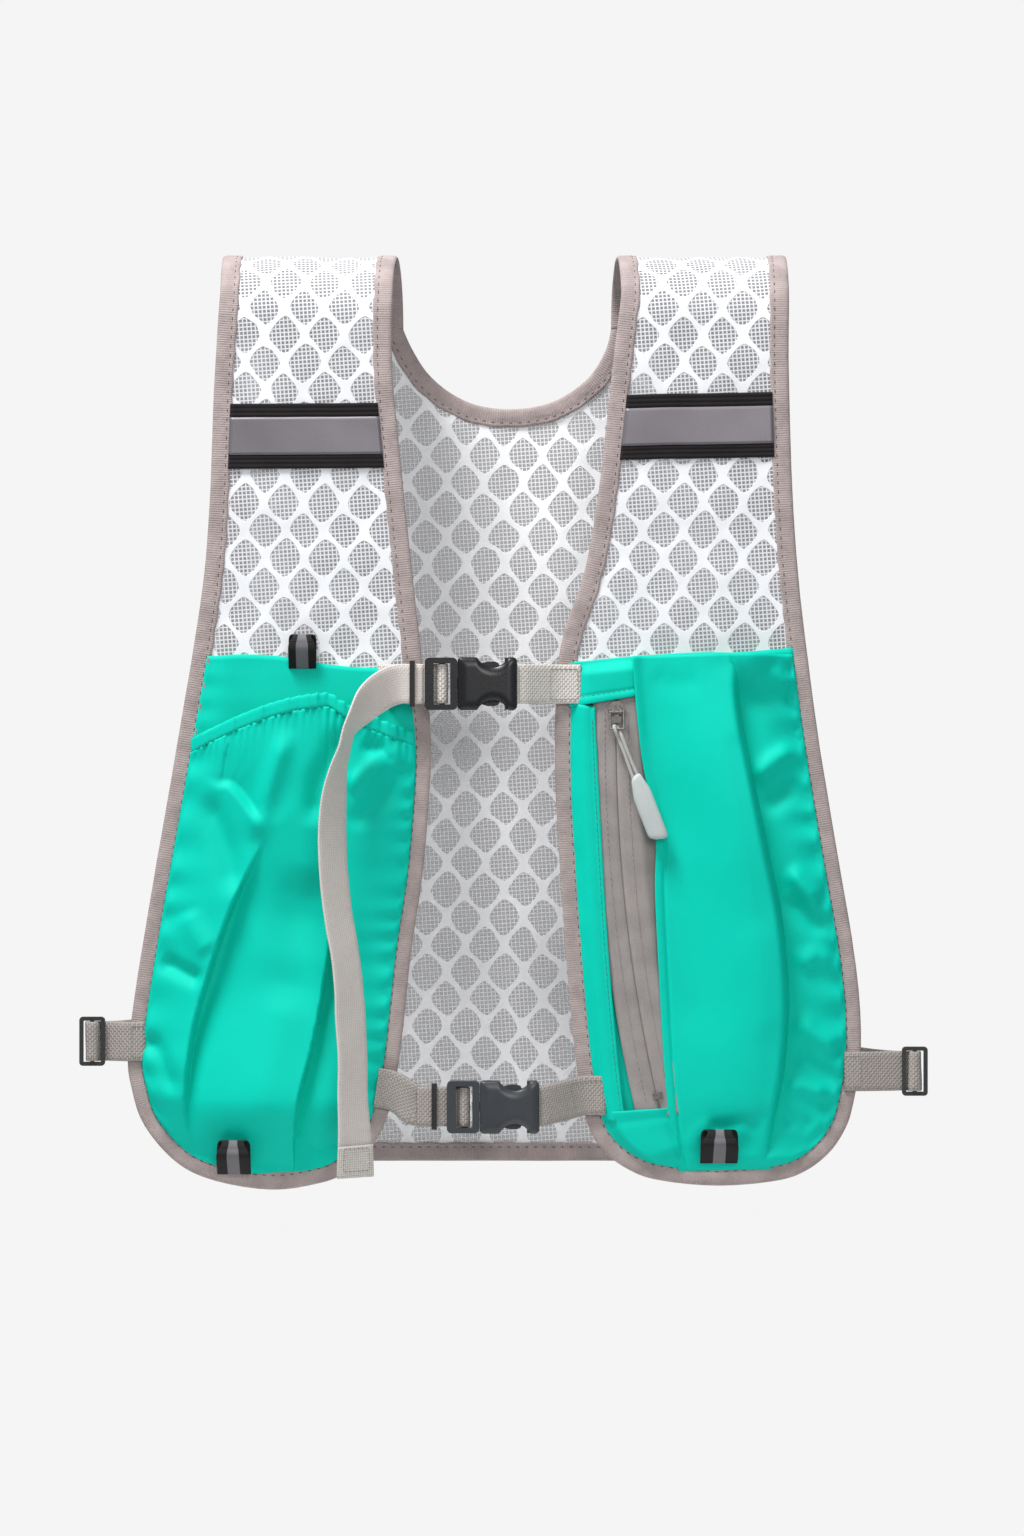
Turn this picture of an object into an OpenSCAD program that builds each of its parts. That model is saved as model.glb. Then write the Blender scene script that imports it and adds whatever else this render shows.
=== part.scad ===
// Reflective vest with two front pockets, two side-release buckles and two side adjusters.
// Frame: +Z up, the wearer's front faces -Y, the zipped pocket is on +X and the open
// bottle pocket on -X. The origin is on top of the shoulder folds, midway between them.

/* [Shell] */
// Radius of the fold over each shoulder, at the middle of the cloth
shoulder_r = 33; // [28:1:38]
// Thickness of the mesh panels
mesh_t = 1.2; // [0.8:0.1:1.6]
// Visible width of the edge binding
binding_w = 9.5; // [8:0.5:11]
// Thickness of the edge binding, which folds round the mesh
binding_t = 3; // [2.4:0.2:3.4]
// Thickness of the pocket cloth
cloth_t = 0.7; // [0.5:0.1:0.7]

/* [Pockets] */
// How far the bottle pocket stands out
bottle_bulge = 15; // [12:1:16]
// Height of the elastic channel along the bottle pocket's mouth
channel_h = 7.5; // [6:0.5:9]
// How far the zipped pocket's pleat stands out
pleat_bulge = 12; // [8:1:13]
// Gap between the two zip tapes
zip_gap = 1.4; // [1.2:0.1:1.8]

/* [Straps] */
// Width of the webbing
webbing_w = 20; // [18:1:20]
// Thickness of the webbing
webbing_t = 1.2; // [1:0.1:1.4]
// Height of a buckle across the webbing
buckle_h = 26; // [25:0.5:28]
// Thickness of a buckle
buckle_t = 8.4; // [8:0.2:9]
// Distance that a buckle stands in front of the shoulder fold's foot
buckle_forward = 12; // [11:0.5:14]

/* [Hidden] */
$fn = 48;
eps = 0.01;

// Colours
white_mesh = [0.90, 0.90, 0.91];
taupe = [0.72, 0.66, 0.65];
green = [0.03, 0.84, 0.74];
beige = [0.69, 0.66, 0.63];
black = [0.10, 0.10, 0.11];
silver = [0.45, 0.43, 0.44];
zip_taupe = [0.66, 0.62, 0.61];
pale_grip = [0.78, 0.80, 0.80];

// Depths of the layers, from the back of the vest to the front
front_y = -shoulder_r;
mesh_face = front_y - mesh_t / 2;
layer_gap = 0.1;
pocket_back_y = mesh_face - layer_gap;
pocket_face = pocket_back_y - cloth_t;
pocket_edge_y = pocket_face - layer_gap;
tape_y = mesh_face - 3.8;
tape_t = 0.6;
coil_t = 1.1;
strap_y = front_y - buckle_forward;

// Outlines in the front plane, as [x, z]. Each runs down its -X side, along the hem
// and up its +X side, and starts and ends above the shoulder fold, where it is cut.
bottle_outline = [
    [-142.5, 20], [-142.5, -20], [-145.5, -70], [-148, -133], [-152.5, -178], [-166, -259],
    [-181.5, -349], [-188.5, -400], [-186.5, -421], [-180, -439], [-164, -457], [-145, -466],
    [-117, -470.5], [-94, -467.5], [-80, -462], [-65, -447], [-58, -432], [-52.5, -405],
    [-46.5, -351], [-40, -305], [-36.5, -245], [-41.5, -202], [-51.5, -109], [-56, -59],
    [-56, -20], [-56, 20]
];
zip_outline = [
    [59, 20], [59, -20], [54, -62], [48.5, -112], [43.5, -145], [38.5, -167], [28, -200],
    [25.5, -255], [29, -324], [35, -397], [40.5, -433], [49, -450], [63.5, -461], [79, -466],
    [108, -468.5], [136.5, -466], [150.5, -461.5], [162, -453], [169.5, -443], [174.5, -430],
    [179, -400], [176.5, -358], [166, -295], [156, -232], [146.5, -151], [143, -70],
    [143, -20], [143, 20]
];
back_sides = [
    [-142.5, 20], [-142.5, -60], [-143, -150], [-155, -260], [-167, -360], [-171, -420],
    [-167, -445], [-155, -458], [-134, -461.5]
];
back_hem = [[135, -461.5], [156, -458], [168, -445], [172, -420], [168, -360], [156, -260],
    [144, -150], [143, -60], [143, 20]];
neck_scoop = [
    [59, 20], [59, -25], [54, -43], [45.5, -55.5], [34, -65.5], [20, -72], [3, -74],
    [-14, -72], [-28, -65.5], [-39.5, -55.5], [-48, -43], [-55.5, -25], [-56, 20]
];

// Edge lines of the bottle pocket's front, from its mouth down to the hem
bottle_pocket_outer = [[-153.5, -253], [-163, -305], [-170.5, -349], [-177.5, -395],
    [-176, -420], [-169, -435], [-157, -447], [-141, -455.5], [-125, -459]];
bottle_pocket_inner = [[-47.5, -250], [-51, -305], [-57.5, -351], [-63.5, -400],
    [-69, -430], [-75.5, -442.5], [-85, -451], [-92, -454.5], [-99, -457]];
mouth_rise = 21;
mouth_peak = 0.62;
bottle_top_edge = [[-190, -203], [-150, -203], [-132, -202], [-112, -203], [-92, -206.5],
    [-73, -208.5], [-44, -209], [-20, -209]];

// Edge lines of the zipped pocket's pleat and of the gusset beside it
pleat_left = [[64.5, -206], [66.5, -223], [73.5, -277], [78.5, -338], [80, -376], [81.5, -434],
    [85, -452]];
pleat_right = [[117, -202], [119.5, -231], [125, -261], [140.5, -338], [143.5, -376],
    [136, -438], [134, -455]];
gusset_left = [[113, -202], [115, -231], [120, -261], [134, -338], [137, -376], [131, -438],
    [129, -456]];
gusset_right = [[142, -200], [146.5, -232], [154, -280], [164.5, -347], [168.5, -400],
    [160, -438], [139, -455]];
zip_top_edge = [[10, -206], [39, -205.5], [64, -203], [98, -201], [117, -201], [141, -199],
    [170, -197]];
tab_outline = [[39.5, -206.5], [63, -204.5], [64, -221], [52, -224], [38.5, -227]];
strip_outline = [[37.5, -230], [45.5, -229], [47.5, -270], [51.5, -340], [56, -395],
    [59.5, -432], [50.5, -434], [44.5, -395], [40.5, -340], [37.5, -290]];

// The zip's line is the arc through these three points
zip_top = [56.5, -224];
zip_mid = [61.5, -335];
zip_end = [77, -426];
function circle_centre(a, b, c) =
    let(d = 2 * (a.x * (b.y - c.y) + b.x * (c.y - a.y) + c.x * (a.y - b.y)))
    [(a * a * (b.y - c.y) + b * b * (c.y - a.y) + c * c * (a.y - b.y)) / d,
     (a * a * (c.x - b.x) + b * b * (a.x - c.x) + c * c * (b.x - a.x)) / d];
zip_centre = circle_centre(zip_top, zip_mid, zip_end);
zip_r = norm(zip_top - zip_centre);
function zip_angle(p) = atan2(p.y - zip_centre.y, zip_centre.x - p.x);
slider_at = -231;
slider_angle = -asin((zip_centre.y - slider_at) / zip_r);
slider_x = zip_centre.x - zip_r * cos(slider_angle);

// Route of the chest strap's free tail, as [x, y, z], with the direction across its width
tail_route = [
    [-40, -44, -217], [-46, -44, -217], [-52, -44, -217], [-58, -47, -219], [-64, -52, -223],
    [-69, -56, -228], [-73, -59, -234], [-77, -60, -241], [-79, -60, -249], [-82, -60, -259],
    [-84, -60, -271], [-85, -60, -285], [-85, -60, -300], [-84, -60, -316], [-82, -60, -333],
    [-79, -60, -350], [-77, -60, -367], [-76, -60, -385], [-75, -60, -404], [-75, -60, -423],
    [-74, -60, -442], [-74, -59, -462]
];
tail_across = [
    [0, 0, 1], [0, 0, 1], [-0.05, 0, 1], [-0.2, -0.15, 0.95], [-0.35, -0.35, 0.8],
    [-0.4, -0.6, 0.6], [-0.35, -0.85, 0.35], [-0.25, -0.95, 0.15], [-0.25, -0.95, 0.05],
    [-0.4, -0.9, 0], [-0.55, -0.8, 0], [-0.62, -0.75, 0], [-0.65, -0.72, 0], [-0.66, -0.72, 0],
    [-0.68, -0.72, 0.1], [-0.68, -0.72, 0.1], [-0.68, -0.7, 0], [-0.7, -0.7, 0],
    [-0.7, -0.7, 0], [-0.72, -0.68, 0], [-0.78, -0.6, 0], [-0.85, -0.5, 0]
];

// Height of the chest and waist buckles, and where the mouth of each female half is
chest_z = -217;
waist_z = -428;
chest_mouth_x = -23;
waist_mouth_x = -12;

function mix(a, b, t) = a + (b - a) * t;
function unit(v) = v / norm(v);
function smooth(t) = let(c = min(1, max(0, t))) c * c * (3 - 2 * c);
function catmull(a, b, c, d, t) =
    0.5 * (2 * b + (c - a) * t + (2 * a - 5 * b + 4 * c - d) * t * t
    + (3 * b - a - 3 * c + d) * t * t * t);
// A smooth line through the points p, with n steps between each two
function spline(p, n) = let(last = len(p) - 1) concat(
    [for (i = [0:last - 1], k = [0:n - 1])
        catmull(p[max(0, i - 1)], p[i], p[i + 1], p[min(last, i + 2)], k / n)],
    [p[last]]);
// The point at fraction t of the line p, counted in points
function along(p, t) =
    let(s = min(1, max(0, t)) * (len(p) - 1), i = min(len(p) - 2, floor(s)), last = len(p) - 1)
    catmull(p[max(0, i - 1)], p[i], p[i + 1], p[min(last, i + 2)], s - i);
// The closed outline p, moved inwards by d
function inset(p, d) = let(n = len(p)) [for (i = [0:n - 1])
    let(t = unit(p[(i + 1) % n] - p[(i + n - 1) % n])) p[i] + d * [-t.y, t.x]];
// A line p given a thickness t, as a closed outline
function thicken(p, t) = let(
    last = len(p) - 1,
    side = [for (i = [0:last])
        let(d = unit(p[min(last, i + 1)] - p[max(0, i - 1)])) [-d.y, d.x] * t / 2])
    concat([for (i = [0:last]) p[i] + side[i]], [for (i = [last:-1:0]) p[i] - side[i]]);
function arc(c, r, a, b, n) = [for (i = [0:n]) let(w = mix(a, b, i / n)) c + r * [cos(w), sin(w)]];

// Stands an outline in the front plane and gives it a thickness towards the front
module upright(back_y, t) translate([0, back_y, 0]) rotate([90, 0, 0]) linear_extrude(t) children();
// Extrudes an outline in [y, z] along X
module across(x, w) translate([x, 0, 0]) rotate([90, 0, 90]) linear_extrude(w) children();
module below(z) translate([-250, z - 600]) square([500, 600]);
module under_line(p) polygon(concat(spline(p, 4), [[p[len(p) - 1].x, -520], [p[0].x, -520]]));

// A closed sheet from a grid of front points and a grid of back points
module sheet(front, back) {
    rows = len(front);
    cols = len(front[0]);
    n = rows * cols;
    points = concat([for (r = front, p = r) p], [for (r = back, p = r) p]);
    function id(r, c) = r * cols + c;
    faces = concat(
        [for (r = [0:rows - 2], c = [0:cols - 2]) each [
            [id(r, c), id(r, c + 1), id(r + 1, c)],
            [id(r, c + 1), id(r + 1, c + 1), id(r + 1, c)],
            [n + id(r, c), n + id(r + 1, c), n + id(r, c + 1)],
            [n + id(r, c + 1), n + id(r + 1, c), n + id(r + 1, c + 1)]]],
        [for (r = [0:rows - 2]) each [
            [id(r, 0), id(r + 1, 0), n + id(r, 0)],
            [id(r + 1, 0), n + id(r + 1, 0), n + id(r, 0)],
            [id(r, cols - 1), n + id(r, cols - 1), id(r + 1, cols - 1)],
            [id(r + 1, cols - 1), n + id(r, cols - 1), n + id(r + 1, cols - 1)]]],
        [for (c = [0:cols - 2]) each [
            [id(0, c), n + id(0, c), id(0, c + 1)],
            [id(0, c + 1), n + id(0, c), n + id(0, c + 1)],
            [id(rows - 1, c), id(rows - 1, c + 1), n + id(rows - 1, c)],
            [id(rows - 1, c + 1), n + id(rows - 1, c + 1), n + id(rows - 1, c)]]]);
    polyhedron(points, faces, convexity = 8);
}
// A cloth sheet of thickness t given by a grid of back points; it stands t in front of them
module cloth(back, t) sheet([for (r = back) [for (p = r) p - [0, t, 0]]], back);

// ---- Shell -------------------------------------------------------------------------
module shoulder_fold(x0, x1, t) across(x0, x1 - x0) intersection() {
    translate([0, -shoulder_r]) difference() {
        circle(shoulder_r + t / 2);
        circle(shoulder_r - t / 2);
    }
    translate([-60, -shoulder_r]) square([120, 80]);
}
module outline_area(p, d = 0) intersection() {
    polygon(d == 0 ? spline(p, 3) : inset(spline(p, 3), d));
    below(-shoulder_r);
}
module edge_area(p) difference() {
    outline_area(p);
    outline_area(p, binding_w);
}
module front_panel(p, x0, x1) {
    upright(front_y + mesh_t / 2, mesh_t) outline_area(p, binding_w);
    shoulder_fold(x0 + binding_w, x1 - binding_w, mesh_t);
}
module front_binding(p, x0, x1) {
    upright(front_y + binding_t / 2, binding_t) edge_area(p);
    shoulder_fold(x0, x0 + binding_w, binding_t);
    shoulder_fold(x1 - binding_w, x1, binding_t);
}
module bottle_front_panel() color(white_mesh) front_panel(bottle_outline, -142.5, -56);
module zip_front_panel() color(white_mesh) front_panel(zip_outline, 59, 143);
module bottle_edge_binding() color(taupe) front_binding(bottle_outline, -142.5, -56);
module zip_edge_binding() color(taupe) front_binding(zip_outline, 59, 143);

function back_outline() = concat(spline(back_sides, 3), spline(back_hem, 3), spline(neck_scoop, 3));
module back_area(d = 0) intersection() {
    polygon(d == 0 ? back_outline() : inset(back_outline(), d));
    below(-shoulder_r);
}
module back_edge() difference() {
    back_area();
    back_area(binding_w);
}
module back_panel() color(white_mesh)
    upright(shoulder_r + mesh_t / 2, mesh_t) back_area(binding_w);
hem_top = -445;
neck_half = 70;
module back_strip(x0, x1, z0, z1) color(taupe)
    upright(shoulder_r + binding_t / 2, binding_t) intersection() {
        back_edge();
        translate([x0, z0]) square([x1 - x0, z1 - z0]);
    }
module neck_binding() back_strip(-neck_half, neck_half, -90, 0);
module hem_binding() back_strip(-200, 200, -470, hem_top);
module bottle_back_side_binding() back_strip(-200, -neck_half, hem_top, 0);
module zip_back_side_binding() back_strip(neck_half, 200, hem_top, 0);
module shoulder_seam_tapes() color(taupe)
    for (x = [[-132.3, -66.2], [69.3, 132.7]])
        translate([x[0], shoulder_r + mesh_t / 2 + layer_gap, -shoulder_r - 7])
            cube([x[1] - x[0], cloth_t, 6.5]);

// ---- Reflectors --------------------------------------------------------------------
module reflector_area(p, centre, tilt, h) intersection() {
    outline_area(p, binding_w + 0.2);
    translate(centre) rotate(tilt) square([120, h], center = true);
}
module reflector_backing(p, centre, tilt) color(black)
    upright(pocket_back_y, cloth_t) reflector_area(p, centre, tilt, 32.5);
module reflector(p, centre, tilt) color(silver)
    upright(pocket_face, 0.4) reflector_area(p, centre, tilt, 19);
bottle_reflector_at = [-101, -92.5];
zip_reflector_at = [97.5, -87.5];
module bottle_reflector_backing() reflector_backing(bottle_outline, bottle_reflector_at, 0.4);
module bottle_reflector() reflector(bottle_outline, bottle_reflector_at, 0.4);
module zip_reflector_backing() reflector_backing(zip_outline, zip_reflector_at, 1);
module zip_reflector() reflector(zip_outline, zip_reflector_at, 1);

// ---- Bottle pocket -----------------------------------------------------------------
module pocket_back(p, top) color(green)
    upright(pocket_back_y, cloth_t) intersection() {
        outline_area(p, binding_w + 0.2);
        under_line(top);
    }
module bottle_pocket_back() pocket_back(bottle_outline, bottle_top_edge);

mouth_z = -253;
pocket_foot_z = -459;
pocket_rows = 16;
pocket_cols = 14;
function mouth_lift(u) = mouth_rise * (u < mouth_peak
    ? sin(90 * u / mouth_peak)
    : cos(90 * pow((u - mouth_peak) / (1 - mouth_peak), 0.45)));
function bottle_depth(u, v) =
    bottle_bulge * pow(sin(180 * min(1, max(0, u))), 0.7)
    * (v < 0.35 ? mix(0.6, 1, smooth(v / 0.35)) : pow(cos(90 * (v - 0.35) / 0.65), 0.8));
// Back of the pocket's front cloth, at u across and v down; lift raises it above the mouth
function bottle_point(u, v, lift = 0) =
    let(p = mix(along(bottle_pocket_outer, v), along(bottle_pocket_inner, v), u),
        down = min(1, max(0, (mouth_z - p.y) / (mouth_z - pocket_foot_z))),
        up = mouth_lift(u) * pow(1 - v, 3))
    [p.x, pocket_edge_y - bottle_depth(u, down), p.y + up + lift];
module bottle_pocket_front() color(green) cloth(
    [for (r = [0:pocket_rows]) [for (c = [0:pocket_cols])
        bottle_point(c / pocket_cols, r / pocket_rows)]], 1);
channel_t = 2.4;
module bottle_pocket_elastic() color(green) cloth(
    [for (r = [0:2]) [for (c = [0:pocket_cols])
        bottle_point(c / pocket_cols, 0, mix(channel_h, layer_gap, r / 2))]], channel_t);

// ---- Ribbon loops ------------------------------------------------------------------
ribbon_t = 0.8;
loop_r = 3.6;
module ribbon_loop(x, w, path) color(black) across(x - w / 2, w) polygon(thicken(path, ribbon_t));
module bottle_top_loop() ribbon_loop(-101, 14, concat(
    [[-34.1, -202.5], [-34.1, -196.5]],
    arc([-34.1 - loop_r, -196], loop_r, 0, 180, 8),
    [[-41.1, -200], [-37, -206.5], [-35.2, -209]]));
module hem_loop(x, w, z, leg_y) ribbon_loop(x, w, concat(
    [[-38.4, z - 15], [leg_y, z - 9], [leg_y, z - loop_r - 0.6]],
    arc([leg_y - loop_r, z - loop_r], loop_r, 0, 180, 8),
    [[leg_y - 2 * loop_r, z - 8], [-39.6, z - 16]]));
module bottle_hem_loop() hem_loop(-135, 17, -445, -42.5);
module zip_hem_loop() hem_loop(107.5, 19, -439.5, -44);

// ---- Zipped pocket -----------------------------------------------------------------
module zip_pocket_back() pocket_back(zip_outline, zip_top_edge);
// The narrow cloth strip and the hemmed tab lie just in front of the zip's tapes
trim_y = tape_y - tape_t - layer_gap;
module zip_pocket_strip() color(green) upright(trim_y, 0.8) polygon(strip_outline);
module zip_pocket_top_tab() color(green) upright(trim_y, 1.4) polygon(tab_outline);

panel_rows = 14;
panel_cols = 10;
function pleat_fade(v) = smooth(min(v, 0.3) / 0.3) * 0.55 + 0.45 - 0.9 * pow(max(0, v - 0.3) / 0.7, 2);
pleat_rest = 3.7;
pleat_top_z = -202;
pleat_foot_z = -455;
function pleat_point(u, v) =
    let(p = mix(along(pleat_left, v), along(pleat_right, v), u),
        down = (pleat_top_z - p.y) / (pleat_top_z - pleat_foot_z))
    [p.x, pocket_edge_y - mix(pleat_rest, 1.2, smooth((v - 0.86) / 0.14))
        - pleat_bulge * smooth((u - 0.1) / 0.7) * pleat_fade(down), p.y];
function gusset_point(u, v) =
    let(p = mix(along(gusset_left, v), along(gusset_right, v), u))
    [p.x, pocket_edge_y - mix(pleat_point(1, v).y * -1 + pocket_edge_y - 2, 0, smooth(u)), p.y];
module zip_pocket_pleat() color(green) cloth(
    [for (r = [0:panel_rows]) [for (c = [0:panel_cols])
        pleat_point(c / panel_cols, r / panel_rows)]], 1);
module zip_pocket_gusset() color(green) cloth(
    [for (r = [0:panel_rows]) [for (c = [0:6]) gusset_point(c / 6, r / panel_rows)]], 1);

// ---- Zip ---------------------------------------------------------------------------
// A strip that follows the zip's line, from offset a to offset b beside it
module zip_strip(back_y, t, a, b) {
    from = zip_angle(zip_top);
    to = zip_angle(zip_end) + 1;
    translate([zip_centre.x, back_y, zip_centre.y]) rotate([90, 0, 0])
        rotate([0, 0, 180 - from])
            rotate_extrude(angle = from - to, $fn = 360) translate([zip_r + a, 0]) square([b - a, t]);
}
module zip_tape_inner() color(zip_taupe) zip_strip(tape_y, tape_t, zip_gap / 2, 11);
module zip_tape_outer() color(zip_taupe) zip_strip(tape_y, tape_t, -16, -zip_gap / 2);
module zip_coil_inner() color(taupe)
    zip_strip(tape_y + coil_t + layer_gap, coil_t, zip_gap / 2, zip_gap / 2 + 1.6);
module zip_coil_outer() color(taupe)
    zip_strip(tape_y + coil_t + layer_gap, coil_t, -zip_gap / 2 - 1.6, -zip_gap / 2);
module zip_bottom_stop() color(silver)
    translate([zip_end.x, tape_y - tape_t - layer_gap, zip_end.y + 3])
        rotate([90, -13, 0]) linear_extrude(1) square([5, 3], center = true);

// The slider: two plates joined by a web that runs in the gap between the tapes
slider_w = 8.4;
slider_h = 11;
plate_t = 0.9;
play = 0.3;
pin_r = 0.62;
slider_front_y = tape_y - tape_t - play;
slider_back_y = tape_y + layer_gap + coil_t + play + plate_t;
bail_y = slider_front_y - plate_t - 2.1;
bail_drop = 9;
bail_lean = 20;
bail_half = 3.4;
pull_tilt = 22;
pull_cord_l = 25;
pull_grip_l = 34;
module at_slider() translate([slider_x, 0, slider_at]) rotate([0, -slider_angle, 0]) children();
module slider_plate() {
    translate([0, slider_h / 2 - slider_w / 2]) circle(slider_w / 2);
    translate([1 - slider_w / 2, -slider_h / 2]) square([slider_w - 2, slider_h / 2 + 1]);
}
module zip_slider() color(silver) at_slider() {
    upright(slider_front_y, plate_t) slider_plate();
    upright(slider_back_y, plate_t) slider_plate();
    upright(slider_back_y - plate_t + eps, slider_back_y - slider_front_y - plate_t + 2 * eps)
        translate([-0.4, slider_h / 2 - 4]) square([0.8, 3]);
    for (x = [-2.3, 1.3])
        across(x, 1) difference() {
            union() {
                translate([bail_y, 0]) circle(1.5);
                translate([bail_y, -1.5]) square([slider_front_y - plate_t - bail_y + eps, 3]);
            }
            translate([bail_y, 0]) circle(pin_r + 0.08);
        }
}
module at_bail() at_slider() translate([0, bail_y, 0]) rotate([-bail_lean, 0, 0]) children();
module rod_x(x0, x1, z, r) translate([x0, 0, z]) rotate([0, 90, 0]) cylinder(r = r, h = x1 - x0);
module zip_bail() color(silver) at_bail() {
    rod_x(-bail_half, bail_half, 0, pin_r);
    rod_x(-bail_half, bail_half, -bail_drop, pin_r);
    for (x = [-bail_half, bail_half]) {
        translate([x, 0, -bail_drop]) cylinder(r = pin_r, h = bail_drop);
        for (z = [0, -bail_drop]) translate([x, 0, z]) sphere(pin_r);
    }
}
module at_pull() at_slider()
    translate([0, bail_y - bail_drop * sin(bail_lean), -bail_drop * cos(bail_lean)])
        rotate([0, -pull_tilt, 0]) children();
module zip_pull_cord() color(pale_grip) at_pull()
    translate([0, 0, -pull_cord_l]) cylinder(r = 1.2, h = pull_cord_l - pin_r - 0.9);
module zip_pull_grip() color(pale_grip) at_pull() upright(2, 4) {
    translate([0, -pull_cord_l - 4.5]) circle(4.5);
    translate([0, -pull_cord_l - pull_grip_l + 5.5]) circle(5.5);
    polygon([[-4.5, -pull_cord_l - 4.5], [-5.5, -pull_cord_l - pull_grip_l + 5.5],
        [5.5, -pull_cord_l - pull_grip_l + 5.5], [4.5, -pull_cord_l - 4.5]]);
}

// ---- Side-release buckles ----------------------------------------------------------
// Along a buckle, s = 0 is the mouth of the female half; the male half is at s < 0.
frame_l = 16.5;
slot_half = webbing_w / 2 + 0.3;
rail = buckle_h / 2 - slot_half;
bar_s = -7.9;
bar_r = 1.5;
wrap = bar_r + 0.3 + webbing_t / 2;
front_layer = 1;
female_l = 29;
notch_s = 17.4;
notch_r = 9;
waist_half = 8.2;
cavity_half = 11.5;
cavity_l = 22;
end_bar_s = 27.4;
end_bar_r = 1.4;
prong_t = 4;
prong_root = [1, 7.5];
module at_buckle(x, z) translate([x, strap_y, z]) children();
module slab(t) rotate([90, 0, 0]) translate([0, 0, -t / 2]) linear_extrude(t) children();
module round_box(x0, x1, half, r) {
    translate([x0 + r, -half]) square([x1 - x0 - 2 * r, 2 * half]);
    translate([x0, r - half]) square([x1 - x0, 2 * half - 2 * r]);
    for (x = [x0 + r, x1 - r], z = [r - half, half - r]) translate([x, z]) circle(r);
}
module buckle_female(x, z) color(black) at_buckle(x, z) {
    difference() {
        slab(buckle_t) difference() {
            round_box(0, female_l - 2, buckle_h / 2, 2);
            for (side = [-1, 1]) translate([notch_s, side * (waist_half + notch_r)]) circle(notch_r);
            translate([cavity_l + 1.2, -slot_half]) square([10, 2 * slot_half]);
        }
        translate([-1, -prong_t / 2 - play, -cavity_half])
            cube([cavity_l + 1, prong_t + 2 * play, 2 * cavity_half]);
    }
    for (side = [-1, 1]) slab(buckle_t) translate([female_l - 3, side * (slot_half + rail / 2)])
        square([5.2, rail - 0.2], center = true);
    translate([end_bar_s, 0, -slot_half - 0.5]) cylinder(r = end_bar_r, h = 2 * slot_half + 1);
}
module buckle_male(x, z) color(black) at_buckle(x, z) {
    difference() {
        slab(buckle_t) difference() {
            round_box(-frame_l, -0.2, buckle_h / 2, 2.5);
            translate([-12, -slot_half]) square([8.2, 2 * slot_half]);
        }
        translate([-frame_l - 1, -0.2, -slot_half]) cube([5.6, buckle_t, 2 * slot_half]);
    }
    translate([bar_s, 0, -slot_half - 0.5]) cylinder(r = bar_r, h = 2 * slot_half + 1);
    slab(3) translate([-0.5, -2.5]) square([14, 5]);
}
prong_outline = [[0.2, 6.2], [0.2, 8.8], [9, 9], [12, 10.2], [14.5, 11.1], [18, 11.2],
    [20.2, 10.4], [21, 8.8], [20.6, 7.2], [18, 6.4]];
module prong(x, z, side) color([0.2, 0.21, 0.22]) at_buckle(x, z)
    slab(prong_t) mirror([0, side < 0 ? 1 : 0]) polygon(prong_outline);
module chest_buckle_female() buckle_female(chest_mouth_x, chest_z);
module chest_buckle_male() buckle_male(chest_mouth_x, chest_z);
module chest_prong_upper() prong(chest_mouth_x, chest_z, 1);
module chest_prong_lower() prong(chest_mouth_x, chest_z, -1);
module waist_buckle_female() buckle_female(waist_mouth_x, waist_z);
module waist_buckle_male() buckle_male(waist_mouth_x, waist_z);
module waist_prong_upper() prong(waist_mouth_x, waist_z, 1);
module waist_prong_lower() prong(waist_mouth_x, waist_z, -1);

// ---- Webbing -----------------------------------------------------------------------
// A strap through points [x, y, z] whose width runs along the directions in across_dirs
module swept_strap(path, across_dirs, w, t) {
    last = len(path) - 1;
    frames = [for (i = [0:last])
        let(d = unit(path[min(last, i + 1)] - path[max(0, i - 1)]),
            a = unit(across_dirs[i] - d * (d * across_dirs[i])))
        [path[i], a * w / 2, unit(cross(d, a)) * t / 2]];
    sheet([for (f = frames) [f[0] - f[1] + f[2], f[0] + f[1] + f[2]]],
          [for (f = frames) [f[0] - f[1] - f[2], f[0] + f[1] - f[2]]]);
}
module strap(path, w = webbing_w) color(beige)
    swept_strap(path, [for (p = path) [0, 0, 1]], w, webbing_t);
function lift_to(points, z) = [for (p = points) [p.x, p.y, z]];
function female_loop(x, z) = lift_to(
    arc([x + end_bar_s, strap_y], end_bar_r + 0.25 + webbing_t / 2, 90, 270, 10), z);
// The strap loops round the ladder bar: in along the back, over the bar, out in front
function male_loop(x, z) = lift_to(concat(
    arc([x + bar_s, strap_y], wrap, 90, -180, 14),
    [[x - 11.3, strap_y + 0.75], [x - 13, strap_y + front_layer]]), z);

module chest_webbing_fixed() strap(concat(
    [[38.5, -35.2, chest_z], [29, -35.2, chest_z], [23, -36.6, chest_z], [16, -40.4, chest_z],
     [10, -42.2, chest_z]],
    female_loop(chest_mouth_x, chest_z),
    [[10, -46.6, chest_z], [17, -42.4, chest_z], [24, -38.4, chest_z], [29.5, -36.6, chest_z],
     [38.5, -36.5, chest_z]]));
waist_rise = 5;
module waist_webbing_fixed() strap(concat(
    [[51, -35.2, waist_z + waist_rise], [41, -35.2, waist_z + waist_rise],
     [35, -36.6, waist_z + 4], [28, -40.4, waist_z + 2.5], [21, -42.2, waist_z + 0.8]],
    female_loop(waist_mouth_x, waist_z),
    [[21, -46.6, waist_z + 0.8], [29, -42.4, waist_z + 2.5], [36, -38.4, waist_z + 4],
     [41.5, -36.6, waist_z + waist_rise], [51, -36.5, waist_z + waist_rise]]));
module chest_webbing_base() strap(concat(
    [[-63, -35.3, chest_z], [-57, -35.5, chest_z], [-53, -38.5, chest_z], [-50, -41.8, chest_z],
     [-47, -42.6, chest_z]],
    male_loop(chest_mouth_x, chest_z),
    [[tail_route[0].x, strap_y + front_layer, chest_z]]));
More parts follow.
